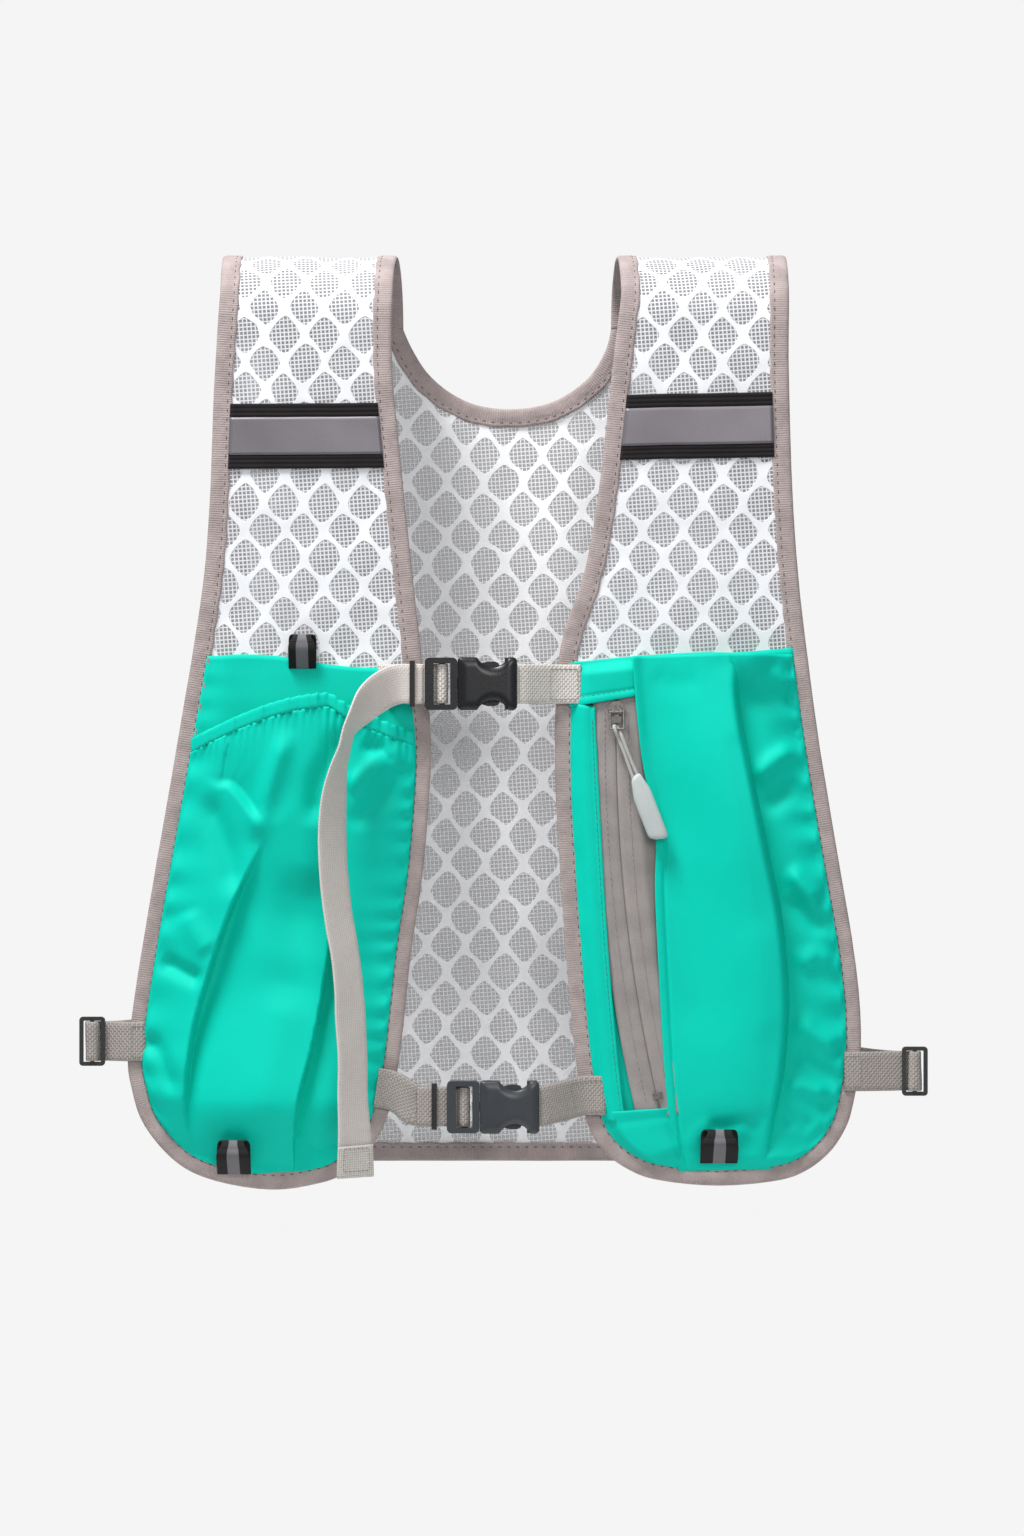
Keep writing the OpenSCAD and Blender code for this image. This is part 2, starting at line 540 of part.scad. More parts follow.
module waist_webbing_base() strap(concat(
    [[-64, -36, waist_z + 9], [-58, -36.2, waist_z + 8], [-52, -38, waist_z + 6.5],
     [-45.5, -41, waist_z + 4], [-40, -42.4, waist_z + 1.2], [-36.6, -42.6, waist_z]],
    male_loop(waist_mouth_x, waist_z),
    [[-32, -44, waist_z], [-38, -44.2, waist_z], [-43, -43.6, waist_z + 1.5]]));
module chest_webbing_tail() color(beige) swept_strap(tail_route, tail_across, webbing_w, webbing_t);

keeper_w = 2.6;
keeper_t = 1.1;
module keeper(x, z) color(black) translate([x, strap_y + 3.3, z]) difference() {
    translate([0, -3.3 - keeper_t, -slot_half - keeper_t])
        cube([keeper_w, 3.3 + 2 * keeper_t, 2 * (slot_half + keeper_t)]);
    translate([-1, -3.3, -slot_half]) cube([keeper_w + 2, 3.3, 2 * slot_half]);
}
module chest_keeper() keeper(chest_mouth_x - frame_l - 7.6, chest_z);
module waist_keeper() keeper(waist_mouth_x - frame_l - 7.6, waist_z);

// ---- Side straps and their sliders -------------------------------------------------
slider_half = 6.4;
bottle_slider = [-206.5, -396];
zip_side_slider_at = [206, -411];
bar_w = 2;
slide_t = 2.5;
// The strap's line outwards from the slider's centre: front layer, over the middle bar, back
function side_line(edge, back_edge) = [
    [-edge - 8.5, -35.3], [-edge, -35.3], [-edge * 0.5 - 3.5, -33], [-7.5, -31], [-4.7, -30.8],
    [-3.5, -31.4], [-2.5, -33.4], [-1.6, -34.7], [-0.6, -34.95], [1, -34.95], [2.4, -34],
    [2.9, -32], [2.6, -30], [1, -29.2], [-4, -29], [-11, -26], [-back_edge * 0.55, -12],
    [-back_edge * 0.78, 6], [-back_edge + 4, 20], [-back_edge + 2, 29], [-back_edge + 1.8, 34],
    [-back_edge + 0.4, 35.7], [-back_edge - 3, 35.6], [-back_edge - 10, 35.4]
];
module side_strap(at, side, edge, back_edge) strap(
    [for (p = side_line(edge, back_edge)) [at.x + side * p.x, p.y, at.y]]);
module side_slider(at) color(black) translate([at.x, front_y, at.y]) slab(slide_t) difference() {
    round_box(-slider_half, slider_half, slot_half + 2, 1.8);
    for (side = [-1, 1]) translate([side * (slider_half + bar_w / 2 - bar_w) / 2, 0])
        square([slider_half - 1.5 * bar_w, 2 * slot_half], center = true);
}
module bottle_side_strap() side_strap(bottle_slider, -1, 18, 36.5);
module bottle_side_slider() side_slider(bottle_slider);
module zip_side_strap() side_strap(zip_side_slider_at, 1, 27, 34);
module zip_side_slider() side_slider(zip_side_slider_at);

back_panel();
bottle_front_panel();
zip_front_panel();
bottle_edge_binding();
zip_edge_binding();
neck_binding();
hem_binding();
bottle_back_side_binding();
zip_back_side_binding();
shoulder_seam_tapes();
bottle_reflector_backing();
bottle_reflector();
zip_reflector_backing();
zip_reflector();
bottle_pocket_back();
bottle_pocket_front();
bottle_pocket_elastic();
bottle_top_loop();
bottle_hem_loop();
zip_hem_loop();
zip_pocket_back();
zip_pocket_strip();
zip_pocket_top_tab();
zip_pocket_pleat();
zip_pocket_gusset();
zip_tape_inner();
zip_tape_outer();
zip_coil_inner();
zip_coil_outer();
zip_bottom_stop();
zip_slider();
zip_bail();
zip_pull_cord();
zip_pull_grip();
chest_webbing_fixed();
chest_buckle_female();
chest_buckle_male();
chest_prong_upper();
chest_prong_lower();
chest_webbing_base();
chest_keeper();
chest_webbing_tail();
waist_webbing_fixed();
waist_buckle_female();
waist_buckle_male();
waist_prong_upper();
waist_prong_lower();
waist_webbing_base();
waist_keeper();
bottle_side_strap();
bottle_side_slider();
zip_side_strap();
zip_side_slider();
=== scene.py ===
"""Reflective vest with two front pockets: the cloth, tapes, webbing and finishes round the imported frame.

Lengths are in millimetres until a mesh is made. "Flat" points are (x, s) on the unfolded front,
where s is the height z up to the foot of the shoulder fold and then runs on over the shoulder.
"""
import math

import bpy
import numpy as np
from mathutils import Matrix, Vector, noise


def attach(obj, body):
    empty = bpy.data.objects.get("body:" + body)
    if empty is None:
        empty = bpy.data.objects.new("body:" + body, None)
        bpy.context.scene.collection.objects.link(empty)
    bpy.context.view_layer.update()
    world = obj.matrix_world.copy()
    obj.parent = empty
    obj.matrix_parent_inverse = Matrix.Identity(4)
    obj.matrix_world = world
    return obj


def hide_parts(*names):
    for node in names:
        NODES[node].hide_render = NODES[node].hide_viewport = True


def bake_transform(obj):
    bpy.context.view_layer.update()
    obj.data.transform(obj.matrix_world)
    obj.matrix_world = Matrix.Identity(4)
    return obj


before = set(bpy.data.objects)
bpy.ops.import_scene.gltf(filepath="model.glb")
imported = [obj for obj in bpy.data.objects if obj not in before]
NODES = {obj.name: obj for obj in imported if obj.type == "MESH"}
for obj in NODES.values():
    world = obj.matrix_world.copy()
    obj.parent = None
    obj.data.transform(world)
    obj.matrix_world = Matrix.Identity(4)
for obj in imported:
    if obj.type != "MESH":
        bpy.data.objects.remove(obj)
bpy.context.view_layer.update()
MM = 0.001


# ---- Driving dimensions ------------------------------------------------------------
FOLD_R = 33.0                         # radius of the fold over each shoulder
FOLD_END = math.pi * FOLD_R - FOLD_R  # s where the folded front meets the back
NECK_LEAN = 4.0                       # sideways lean of the folds towards the neck
BOTTLE_SIDES = (-142.5, -56.0)        # outer and inner edge of each shoulder
ZIP_SIDES = (59.0, 143.0)
BINDING_W = 9.5
CLOTH_OUT = 1.05                      # height of what lies on the mesh, outside the shell
POCKET_FOOT_Z = -459.0
HEM_TOP = -445.0                      # where the back's side tapes give way to the hem tape
WEBBING_W, WEBBING_T = 20.0, 1.2
STRAP_Y = -45.0                       # middle of both buckles
CHEST_Z, WAIST_Z = -217.0, -428.0
CHEST_MOUTH_X, WAIST_MOUTH_X = -23.0, -12.0
STITCH_R = 0.28


# ---- Lines and curves --------------------------------------------------------------
def mix(a, b, t):
    return a + (b - a) * t


def smooth(t):
    t = min(1.0, max(0.0, t))
    return t * t * (3 - 2 * t)


def catmull(a, b, c, d, t):
    return 0.5 * (2 * b + (c - a) * t + (2 * a - 5 * b + 4 * c - d) * t * t
                  + (3 * b - a - 3 * c + d) * t * t * t)


def spline(points, steps=4):
    """A smooth line through the points, with that many steps between each two."""
    p = [np.array(q, float) for q in points]
    last = len(p) - 1
    line = [catmull(p[max(0, i - 1)], p[i], p[i + 1], p[min(last, i + 2)], k / steps)
            for i in range(last) for k in range(steps)]
    return np.array(line + [p[last]])


def travelled(line):
    """The distance along a line up to each of its points."""
    return np.concatenate([[0], np.cumsum(np.linalg.norm(np.diff(line, axis=0), axis=1))])


def interpolated(where, run, values):
    """Rows of values known at the distances run, read at the distance or distances where."""
    return np.stack([np.interp(where, run, values[:, k]) for k in range(values.shape[1])], -1)


def even(line, step):
    """The line with its points spaced evenly, about one step apart."""
    line = np.array(line, float)
    run = travelled(line)
    count = max(2, int(round(run[-1] / step)) + 1)
    return interpolated(np.linspace(0, run[-1], count), run, line)


def unit(v):
    return v / np.linalg.norm(v, axis=-1, keepdims=True)


def tangents(line):
    return unit(np.gradient(np.array(line, float), axis=0))


def inset(line, d):
    """A line moved to its left by d; the outlines here run with their inside on the left."""
    t = tangents(line)
    return line + d * np.stack([-t[:, 1], t[:, 0]], 1)


def crossings(outline, s):
    """Lowest and highest x at which the outline meets the height s."""
    a, b = outline, np.roll(outline, -1, axis=0)
    hit = (a[:, 1] <= s) != (b[:, 1] <= s)
    if not hit.any():
        return None
    a, b = a[hit], b[hit]
    x = a[:, 0] + (b[:, 0] - a[:, 0]) * (s - a[:, 1]) / (b[:, 1] - a[:, 1])
    return float(x.min()), float(x.max())


def ripple(x, z, size, seed=0.0):
    """Smooth seeded noise from about -1 to 1."""
    return noise.noise(Vector((x / size, z / size, seed)))


def front(x, s, out=0.0):
    """A point on the front shell or over the shoulder; out is the distance outside it."""
    if s <= -FOLD_R:
        return x, -FOLD_R - out, s
    turn = (s + FOLD_R) / FOLD_R
    sides = BOTTLE_SIDES if x < 0 else ZIP_SIDES
    outer, inner = (sides[0], sides[1]) if x < 0 else (sides[1], sides[0])
    share = abs((x - outer) / (inner - outer))
    x -= math.copysign(NECK_LEAN, x) * share * smooth(turn / math.pi)
    return x, -(FOLD_R + out) * math.cos(turn), -FOLD_R + (FOLD_R + out) * math.sin(turn)


def back(x, z, out=0.0):
    """A point on the back panel; out is the distance behind it."""
    return x, FOLD_R + out, z


# ---- Outlines ----------------------------------------------------------------------
BOTTLE_OUTLINE = [
    (-142.5, -20), (-145.5, -70), (-148, -133), (-152.5, -178), (-166, -259),
    (-181.5, -349), (-188.5, -400), (-186.5, -421), (-180, -439), (-164, -457), (-145, -466),
    (-117, -470.5), (-94, -467.5), (-80, -462), (-65, -447), (-58, -432), (-52.5, -405),
    (-46.5, -351), (-40, -305), (-36.5, -245), (-41.5, -202), (-51.5, -109), (-56, -59),
    (-56, -20)]
ZIP_OUTLINE = [
    (59, -20), (54, -62), (48.5, -112), (43.5, -145), (38.5, -167), (28, -200),
    (25.5, -255), (29, -324), (35, -397), (40.5, -433), (49, -450), (63.5, -461), (79, -466),
    (108, -468.5), (136.5, -466), (150.5, -461.5), (162, -453), (169.5, -443), (174.5, -430),
    (179, -400), (176.5, -358), (166, -295), (156, -232), (146.5, -151), (143, -70),
    (143, -20)]
BACK_SIDE_A = [
    (-142.5, -33), (-142.5, -60), (-143, -150), (-155, -260), (-167, -360), (-171, -420),
    (-167, -445), (-155, -458), (-134, -461.5)]
BACK_SIDE_B = [
    (135, -461.5), (156, -458), (168, -445), (172, -420), (168, -360), (156, -260),
    (144, -150), (143, -60), (143, -33)]
NECK_SCOOP = [
    (55, -33), (52.5, -43), (45.5, -55.5), (34, -65.5), (20, -72), (3, -74),
    (-14, -72), (-28, -65.5), (-39.5, -55.5), (-47.5, -43), (-52, -33)]


def shell_outline(points, sides):
    """The flat outline of a front panel, run on over the shoulder at both ends."""
    body = spline(points, 4)
    return np.concatenate([[(sides[0], FOLD_END)], body, [(sides[1], FOLD_END)]])


bottle_outline = even(shell_outline(BOTTLE_OUTLINE, BOTTLE_SIDES), 2.0)
zip_outline = even(shell_outline(ZIP_OUTLINE, ZIP_SIDES), 2.0)
back_outline = even(np.concatenate([spline(BACK_SIDE_A), spline(BACK_SIDE_B)]), 2.0)
neck_line = even(spline(NECK_SCOOP), 1.5)


# ---- Meshes ------------------------------------------------------------------------
def piece(name, points, faces, material, slot, uv=None, body="root", stands_for=()):
    """A mesh object from points in millimetres, with its finish, its body and its CAD nodes."""
    mesh = bpy.data.meshes.new(name)
    mesh.from_pydata([tuple(c * MM for c in p) for p in points], [], [tuple(f) for f in faces])
    if uv is not None:
        layer = mesh.uv_layers.new(name="cloth")
        flat = np.array(uv, np.float32)[[v for f in faces for v in f]]
        layer.data.foreach_set("uv", flat.ravel())
    mesh.validate()
    mesh.polygons.foreach_set("use_smooth", [True] * len(mesh.polygons))
    thing = bpy.data.objects.new(name, mesh)
    bpy.context.scene.collection.objects.link(thing)
    mesh.materials.append(material)
    if body:
        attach(thing, body)
    if stands_for:
        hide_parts(*stands_for)
    return thing


def apply_modifiers(thing):
    """Makes the modifiers part of the mesh."""
    graph = bpy.context.evaluated_depsgraph_get()
    made = bpy.data.meshes.new_from_object(thing.evaluated_get(graph))
    old = thing.data
    thing.modifiers.clear()
    thing.data = made
    bpy.data.meshes.remove(old)
    return thing


def solidify(thing, thickness):
    added = thing.modifiers.new("thickness", "SOLIDIFY")
    added.thickness = thickness * MM
    added.offset = 0.0
    return thing


def grid_faces(rows, cols, closed=False):
    """Four-sided faces between rows of points; a closed grid joins its last column to its first."""
    wide = cols if closed else cols - 1
    faces = []
    for row in range(rows - 1):
        low, high = row * cols, (row + 1) * cols
        for c in range(wide):
            after = (c + 1) % cols
            faces.append((low + c, low + after, high + after, high + c))
    return faces


def cloth_grid(name, rows, material, slot, uv, thickness, **kw):
    """A sheet from rows of points, given a thickness."""
    cols = len(rows[0])
    points = [p for r in rows for p in r]
    flat = [q for r in uv for q in r]
    made = piece(name, points, grid_faces(len(rows), cols), material, slot, flat, **kw)
    return apply_modifiers(solidify(made, thickness))


def tube(rings):
    """Points and faces of a tube through rings of points, closed at both ends."""
    n = len(rings[0])
    points = [p for r in rings for p in r]
    faces = grid_faces(len(rings), n, closed=True)
    faces += [tuple(range(n))[::-1], tuple(range(len(points) - n, len(points)))]
    return points, faces


def joined(parts):
    """Several (points, faces) made into one."""
    points, faces = [], []
    for p, f in parts:
        faces += [tuple(v + len(points) for v in face) for face in f]
        points += list(p)
    return points, faces


def around(sides):
    """Angles of a ring's points."""
    return np.linspace(0, 2 * math.pi, sides, endpoint=False)


# Share of the stitch's length, share of its radius, and lift out of the cloth in radii.
STITCH_SHAPE = ((0, 0.25, -0.7), (0.12, 0.8, -0.1), (0.5, 1.0, 0.25), (0.88, 0.8, -0.1), (1, 0.25, -0.7))


def stitch(a, b, up, radius=STITCH_R):
    """A short thread from a to b that dips into the cloth at both ends."""
    a, b, up = (np.array(v, float) for v in (a, b, up))
    side = unit(np.cross(unit(b - a), up))
    rings = []
    for t, r, lift in STITCH_SHAPE:
        centre = mix(a, b, t) + up * lift * radius
        rings.append([centre + radius * r * (math.cos(w) * side + math.sin(w) * up) for w in around(6)])
    return tube(rings)


def seam(name, line, ups, material, slot, pitch=4.5, length=2.6, radius=STITCH_R):
    """A row of stitches along a line, with the direction out of the cloth at each point."""
    line, ups = np.array(line, float), np.array(ups, float)
    run = travelled(line)

    def at(where):
        return interpolated(where, run, line), unit(interpolated(where, run, ups))

    parts = []
    for start in np.arange(pitch * 0.3, run[-1] - length, pitch):
        a, up = at(start)
        b, _ = at(start + length)
        parts.append(stitch(a, b, up, radius))
    points, faces = joined(parts)
    return piece(name, points, faces, material, slot)


# ---- Shader groups -----------------------------------------------------------------
def group(name, inputs, outputs):
    """A node group with float or vector inputs and outputs, and its inlet and outlet nodes."""
    tree = bpy.data.node_groups.new(name, "ShaderNodeTree")
    kinds = {"f": "NodeSocketFloat", "v": "NodeSocketVector", "c": "NodeSocketColor"}
    for label, kind, value in inputs:
        made = tree.interface.new_socket(name=label, in_out="INPUT", socket_type=kinds[kind])
        if value is not None:
            made.default_value = value
    for label, kind in outputs:
        tree.interface.new_socket(name=label, in_out="OUTPUT", socket_type=kinds[kind])
    return tree, tree.nodes.new("NodeGroupInput"), tree.nodes.new("NodeGroupOutput")


def wire(tree, value, socket):
    if isinstance(value, bpy.types.NodeSocket):
        tree.links.new(value, socket)
    else:
        socket.default_value = value


def calc(tree, operation, *values, clamp=False):
    """A Math node; each value is a socket or a number."""
    made = tree.nodes.new("ShaderNodeMath")
    made.operation = operation
    made.use_clamp = clamp
    for value, socket in zip(values, made.inputs):
        wire(tree, value, socket)
    return made.outputs[0]


def ramp(tree, value, low, high, to_low=0.0, to_high=1.0):
    made = tree.nodes.new("ShaderNodeMapRange")
    made.interpolation_type = "SMOOTHSTEP"
    for socket, v in zip(made.inputs, (value, low, high, to_low, to_high)):
        wire(tree, v, socket)
    return made.outputs[0]


def blend_colour(tree, share, a, b, kind="MIX"):
    made = tree.nodes.new("ShaderNodeMix")
    made.data_type = "RGBA"
    made.blend_type = kind
    wire(tree, share, made.inputs["Factor"])
    for value, socket in ((a, made.inputs[6]), (b, made.inputs[7])):
        wire(tree, value, socket)
    return made.outputs[2]


def split(tree, vector):
    made = tree.nodes.new("ShaderNodeSeparateXYZ")
    tree.links.new(vector, made.inputs[0])
    return made.outputs[0], made.outputs[1]


def speckle(tree, vector, scale, detail=2.0):
    made = tree.nodes.new("ShaderNodeTexNoise")
    tree.links.new(vector, made.inputs["Vector"])
    made.inputs["Scale"].default_value = scale
    made.inputs["Detail"].default_value = detail
    return made.outputs["Fac"]


def make_weave():
    """Plain or ribbed weave: warp and weft pitches in millimetres give a height and a mask of the gaps between
    threads, where the finish paints shade.
    """
    tree, at, out = group("weave", [("Vector", "v", None), ("Warp", "f", 1.0), ("Weft", "f", 1.0)],
                          [("Height", "f"), ("Gaps", "f")])
    x, y = split(tree, at.outputs["Vector"])
    turns = [calc(tree, "DIVIDE", a, at.outputs[pitch]) for a, pitch in ((x, "Warp"), (y, "Weft"))]
    waves = [calc(tree, "SINE", calc(tree, "MULTIPLY", t, math.pi)) for t in turns]
    over = calc(tree, "MULTIPLY", *waves)
    height = calc(tree, "MULTIPLY_ADD", over, 0.5, 0.5)
    edges = [calc(tree, "ABSOLUTE", w) for w in waves]
    gaps = calc(tree, "SUBTRACT", 1.0, ramp(tree, calc(tree, "MINIMUM", *edges), 0.0, 0.45))
    tree.links.new(height, out.inputs["Height"])
    tree.links.new(gaps, out.inputs["Gaps"])
    return tree


def make_ribs():
    """Fine ribs at one pitch, uneven in height, running across the tape's length."""
    tree, at, out = group("ribs", [("Vector", "v", None), ("Pitch", "f", 1.0)], [("Height", "f")])
    x, _ = split(tree, at.outputs["Vector"])
    turns = calc(tree, "DIVIDE", x, at.outputs["Pitch"])
    wave = calc(tree, "SINE", calc(tree, "MULTIPLY", turns, math.pi))
    rib = calc(tree, "POWER", calc(tree, "ABSOLUTE", wave), 0.6)
    uneven = speckle(tree, at.outputs["Vector"], 0.35, 3.0)
    height = calc(tree, "MULTIPLY", rib, ramp(tree, uneven, 0.25, 0.7, 0.45, 1.0))
    tree.links.new(height, out.inputs["Height"])
    return tree


def make_mottle():
    """Uneven dye: a colour and its darker shade, mixed by soft and by fine noise."""
    tree, at, out = group("mottle", [("Vector", "v", None), ("Colour", "c", None), ("Shade", "c", None),
                                     ("Patch", "f", 0.03), ("Amount", "f", 0.5)], [("Colour", "c")])
    soft = tree.nodes.new("ShaderNodeTexNoise")
    tree.links.new(at.outputs["Vector"], soft.inputs["Vector"])
    tree.links.new(at.outputs["Patch"], soft.inputs["Scale"])
    soft.inputs["Detail"].default_value = 4.0
    fine = speckle(tree, at.outputs["Vector"], 1.3, 2.0)
    share = calc(tree, "MULTIPLY_ADD", fine, 0.35, calc(tree, "MULTIPLY", soft.outputs["Fac"], 0.65))
    share = calc(tree, "MULTIPLY", ramp(tree, share, 0.35, 0.65), at.outputs["Amount"])
    dyed = blend_colour(tree, share, at.outputs["Colour"], at.outputs["Shade"])
    tree.links.new(dyed, out.inputs["Colour"])
    return tree


CELL_REACH = (0.385, 0.325)     # half a cell's width and height, as shares of the two pitches
CELL_ROUND = 1.38               # 1 is a diamond, 2 an ellipse
HOLE_PITCH = 2.05
HOLE_TURN = math.radians(4)


def make_knit():
    """Openwork knit: rows of rounded diamond cells of fine square holes between solid bands, with a mask of the rim
    round each hole, where the finish paints shade.
    """
    tree, at, out = group(
        "diamond_knit", [("Vector", "v", None), ("Across", "f", 20.0), ("Down", "f", 28.0)],
        [("Cell", "f"), ("Hole", "f"), ("Rim", "f"), ("Height", "f")])
    wobble = tree.nodes.new("ShaderNodeTexNoise")
    tree.links.new(at.outputs["Vector"], wobble.inputs["Vector"])
    wobble.inputs["Scale"].default_value = 0.05
    x, y = split(tree, at.outputs["Vector"])
    shift = calc(tree, "MULTIPLY", calc(tree, "SUBTRACT", wobble.outputs["Fac"], 0.5), 5.0)
    fine_x, fine_y = x, y
    x, y = calc(tree, "ADD", x, shift), calc(tree, "ADD", y, shift)
    nearest = []
    for half in (0.0, 0.5):
        parts = []
        for value, pitch, reach in zip((x, y), ("Across", "Down"), CELL_REACH):
            count = calc(tree, "ADD", calc(tree, "DIVIDE", value, at.outputs[pitch]), half)
            away = calc(tree, "ABSOLUTE", calc(tree, "SUBTRACT", calc(tree, "FRACT", count), 0.5))
            parts.append(calc(tree, "POWER", calc(tree, "DIVIDE", away, reach), CELL_ROUND))
        nearest.append(calc(tree, "ADD", *parts))
    near = calc(tree, "MINIMUM", *nearest)
    cell = ramp(tree, near, 1.04, 0.96)
    holes = []
    c, s = math.cos(HOLE_TURN) / HOLE_PITCH, math.sin(HOLE_TURN) / HOLE_PITCH
    for a, b in ((c, s), (-s, c)):
        line = calc(tree, "MULTIPLY_ADD", fine_x, a, calc(tree, "MULTIPLY", fine_y, b))
        holes.append(calc(tree, "ABSOLUTE", calc(tree, "SUBTRACT", calc(tree, "FRACT", line), 0.5)))
    open_up = ramp(tree, speckle(tree, at.outputs["Vector"], 0.02, 1.0), 0.3, 0.55, 0.85, 1.0)
    square = calc(tree, "MAXIMUM", *holes)
    hole, rim = (calc(tree, "MULTIPLY", calc(tree, "MULTIPLY", cell, ramp(tree, square, *edge)), open_up)
                 for edge in ((0.33, 0.27), (0.42, 0.32)))
    thread = calc(tree, "MULTIPLY", speckle(tree, at.outputs["Vector"], 2.2, 2.0), 0.35)
    band = calc(tree, "SUBTRACT", 1.0, cell)
    height = calc(tree, "ADD", thread, calc(tree, "MULTIPLY", band, 0.65))
    for label, value in (("Cell", cell), ("Hole", hole), ("Rim", rim), ("Height", height)):
        tree.links.new(value, out.inputs[label])
    return tree


WEAVE, RIBS, MOTTLE, KNIT = make_weave(), make_ribs(), make_mottle(), make_knit()


# ---- Materials ---------------------------------------------------------------------
def colour(r, g, b):
    """A colour given in 0 to 255 display values."""
    linear = [((c / 255 + 0.055) / 1.055) ** 2.4 if c > 10 else c / 255 / 12.92 for c in (r, g, b)]
    return (*linear, 1.0)


def darker(tone, share):
    return (*(share * c for c in tone[:3]), 1)


class Finish:
    """A material with its Principled shader, its cloth coordinates and short ways to add to it."""

    def __init__(self, name, roughness, sheen=0.0, specular=0.4, cloth=True):
        self.material = bpy.data.materials.new(name)
        self.material.use_nodes = True
        self.tree = self.material.node_tree
        self.shader = self.tree.nodes["Principled BSDF"]
        self.shader.inputs["Roughness"].default_value = roughness
        self.shader.inputs["Specular IOR Level"].default_value = specular
        self.shader.inputs["Sheen Weight"].default_value = sheen
        self.shader.inputs["Sheen Roughness"].default_value = 0.5
        if cloth:
            self.at = self.tree.nodes.new("ShaderNodeUVMap")
            self.at.uv_map = "cloth"
            self.vector = self.at.outputs["UV"]
        else:
            self.at = self.tree.nodes.new("ShaderNodeTexCoord")
            scale = self.tree.nodes.new("ShaderNodeVectorMath")
            scale.operation = "SCALE"
            scale.inputs["Scale"].default_value = 1 / MM
            self.tree.links.new(self.at.outputs["Object"], scale.inputs[0])
            self.vector = scale.outputs[0]

    def use(self, tree, **values):
        made = self.tree.nodes.new("ShaderNodeGroup")
        made.node_tree = tree
        self.tree.links.new(self.vector, made.inputs["Vector"])
        for label, value in values.items():
            wire(self.tree, value, made.inputs[label])
        return made.outputs

    def colour(self, value):
        wire(self.tree, value, self.shader.inputs["Base Color"])

    def bump(self, height, distance, strength=1.0):
        made = self.tree.nodes.new("ShaderNodeBump")
        made.inputs["Distance"].default_value = distance * MM
        made.inputs["Strength"].default_value = strength
        wire(self.tree, height, made.inputs["Height"])
        self.tree.links.new(made.outputs[0], self.shader.inputs["Normal"])


def knit_finish(name, light, rim_painted_shade):
    f = Finish(name, 0.75, sheen=0.15, specular=0.25)
    knit = f.use(KNIT)
    dyed = f.use(MOTTLE, Colour=light, Shade=darker(light, 0.93), Patch=0.05, Amount=0.8)
    # The cell threads are painted darker and the rim round each hole painted grey: painted shade of the openwork;
    # the mottle is uneven dye.
    threads = blend_colour(f.tree, knit["Cell"], dyed["Colour"], darker(light, 0.86))
    f.colour(blend_colour(f.tree, knit["Rim"], threads, rim_painted_shade))
    wire(f.tree, ramp(f.tree, knit["Hole"], 0.0, 1.0, 1.0, 0.5), f.shader.inputs["Alpha"])
    f.bump(knit["Height"], 0.5, 0.7)
    return f.material


def binding_finish():
    f = Finish("binding_elastic", 0.8, sheen=0.2, specular=0.25)
    ribs = f.use(RIBS, Pitch=1.15)
    dyed = f.use(MOTTLE, Colour=colour(181, 166, 163), Shade=colour(150, 137, 135),
                 Patch=0.09, Amount=0.75)
    # The rib valleys are painted darker: painted shade in the grooves; the mottle is uneven dye.
    valley_shade = ramp(f.tree, ribs["Height"], 0.5, 0.05, 0.0, 0.35)
    f.colour(blend_colour(f.tree, valley_shade, dyed["Colour"], colour(128, 114, 114)))
    f.bump(ribs["Height"], 0.28, 0.8)
    return f.material


def stretch_finish(name, light, dark):
    f = Finish(name, 0.62, specular=0.12)
    weave = f.use(WEAVE, Warp=0.45, Weft=0.45)
    dyed = f.use(MOTTLE, Colour=light, Shade=dark, Patch=0.02, Amount=0.35)
    f.colour(dyed["Colour"])
    f.bump(weave["Height"], 0.06, 0.35)
    return f.material


def webbing_finish(name, light, dark, warp, weft, depth):
    f = Finish(name, 0.8, sheen=0.1, specular=0.25)
    weave = f.use(WEAVE, Warp=warp, Weft=weft)
    dyed = f.use(MOTTLE, Colour=light, Shade=dark, Patch=0.3, Amount=0.12)
    # The gaps between the threads are painted towards the dark colour: painted shade between the threads.
    f.colour(blend_colour(f.tree, calc(f.tree, "MULTIPLY", weave["Gaps"], 0.8), dyed["Colour"], dark))
    f.bump(weave["Height"], depth, 0.8)
    return f.material


def twill_finish(name, light, dark):
    f = Finish(name, 0.85, sheen=0.1, specular=0.2)
    x, y = split(f.tree, f.vector)
    across = calc(f.tree, "ADD", x, y)
    slant = calc(f.tree, "SINE", calc(f.tree, "MULTIPLY", across, 2 * math.pi / 0.9))
    dyed = f.use(MOTTLE, Colour=light, Shade=dark, Patch=0.06, Amount=0.5)
    # The twill's grooves are painted towards the dark colour: painted shade; the mottle is uneven dye.
    f.colour(blend_colour(f.tree, ramp(f.tree, slant, 0.2, -0.9, 0.0, 0.4), dyed["Colour"], dark))
    f.bump(slant, 0.12, 0.6)
    return f.material


def reflector_finish():
    f = Finish("reflective_film", 0.42, specular=0.5)
    grain = speckle(f.tree, f.vector, 5.0, 2.0)
    dyed = f.use(MOTTLE, Colour=colour(124, 119, 124), Shade=colour(104, 99, 104),
                 Patch=0.02, Amount=0.6)
    f.colour(dyed["Colour"])
    wire(f.tree, 0.25, f.shader.inputs["Metallic"])
    f.bump(grain, 0.03, 0.4)
    return f.material


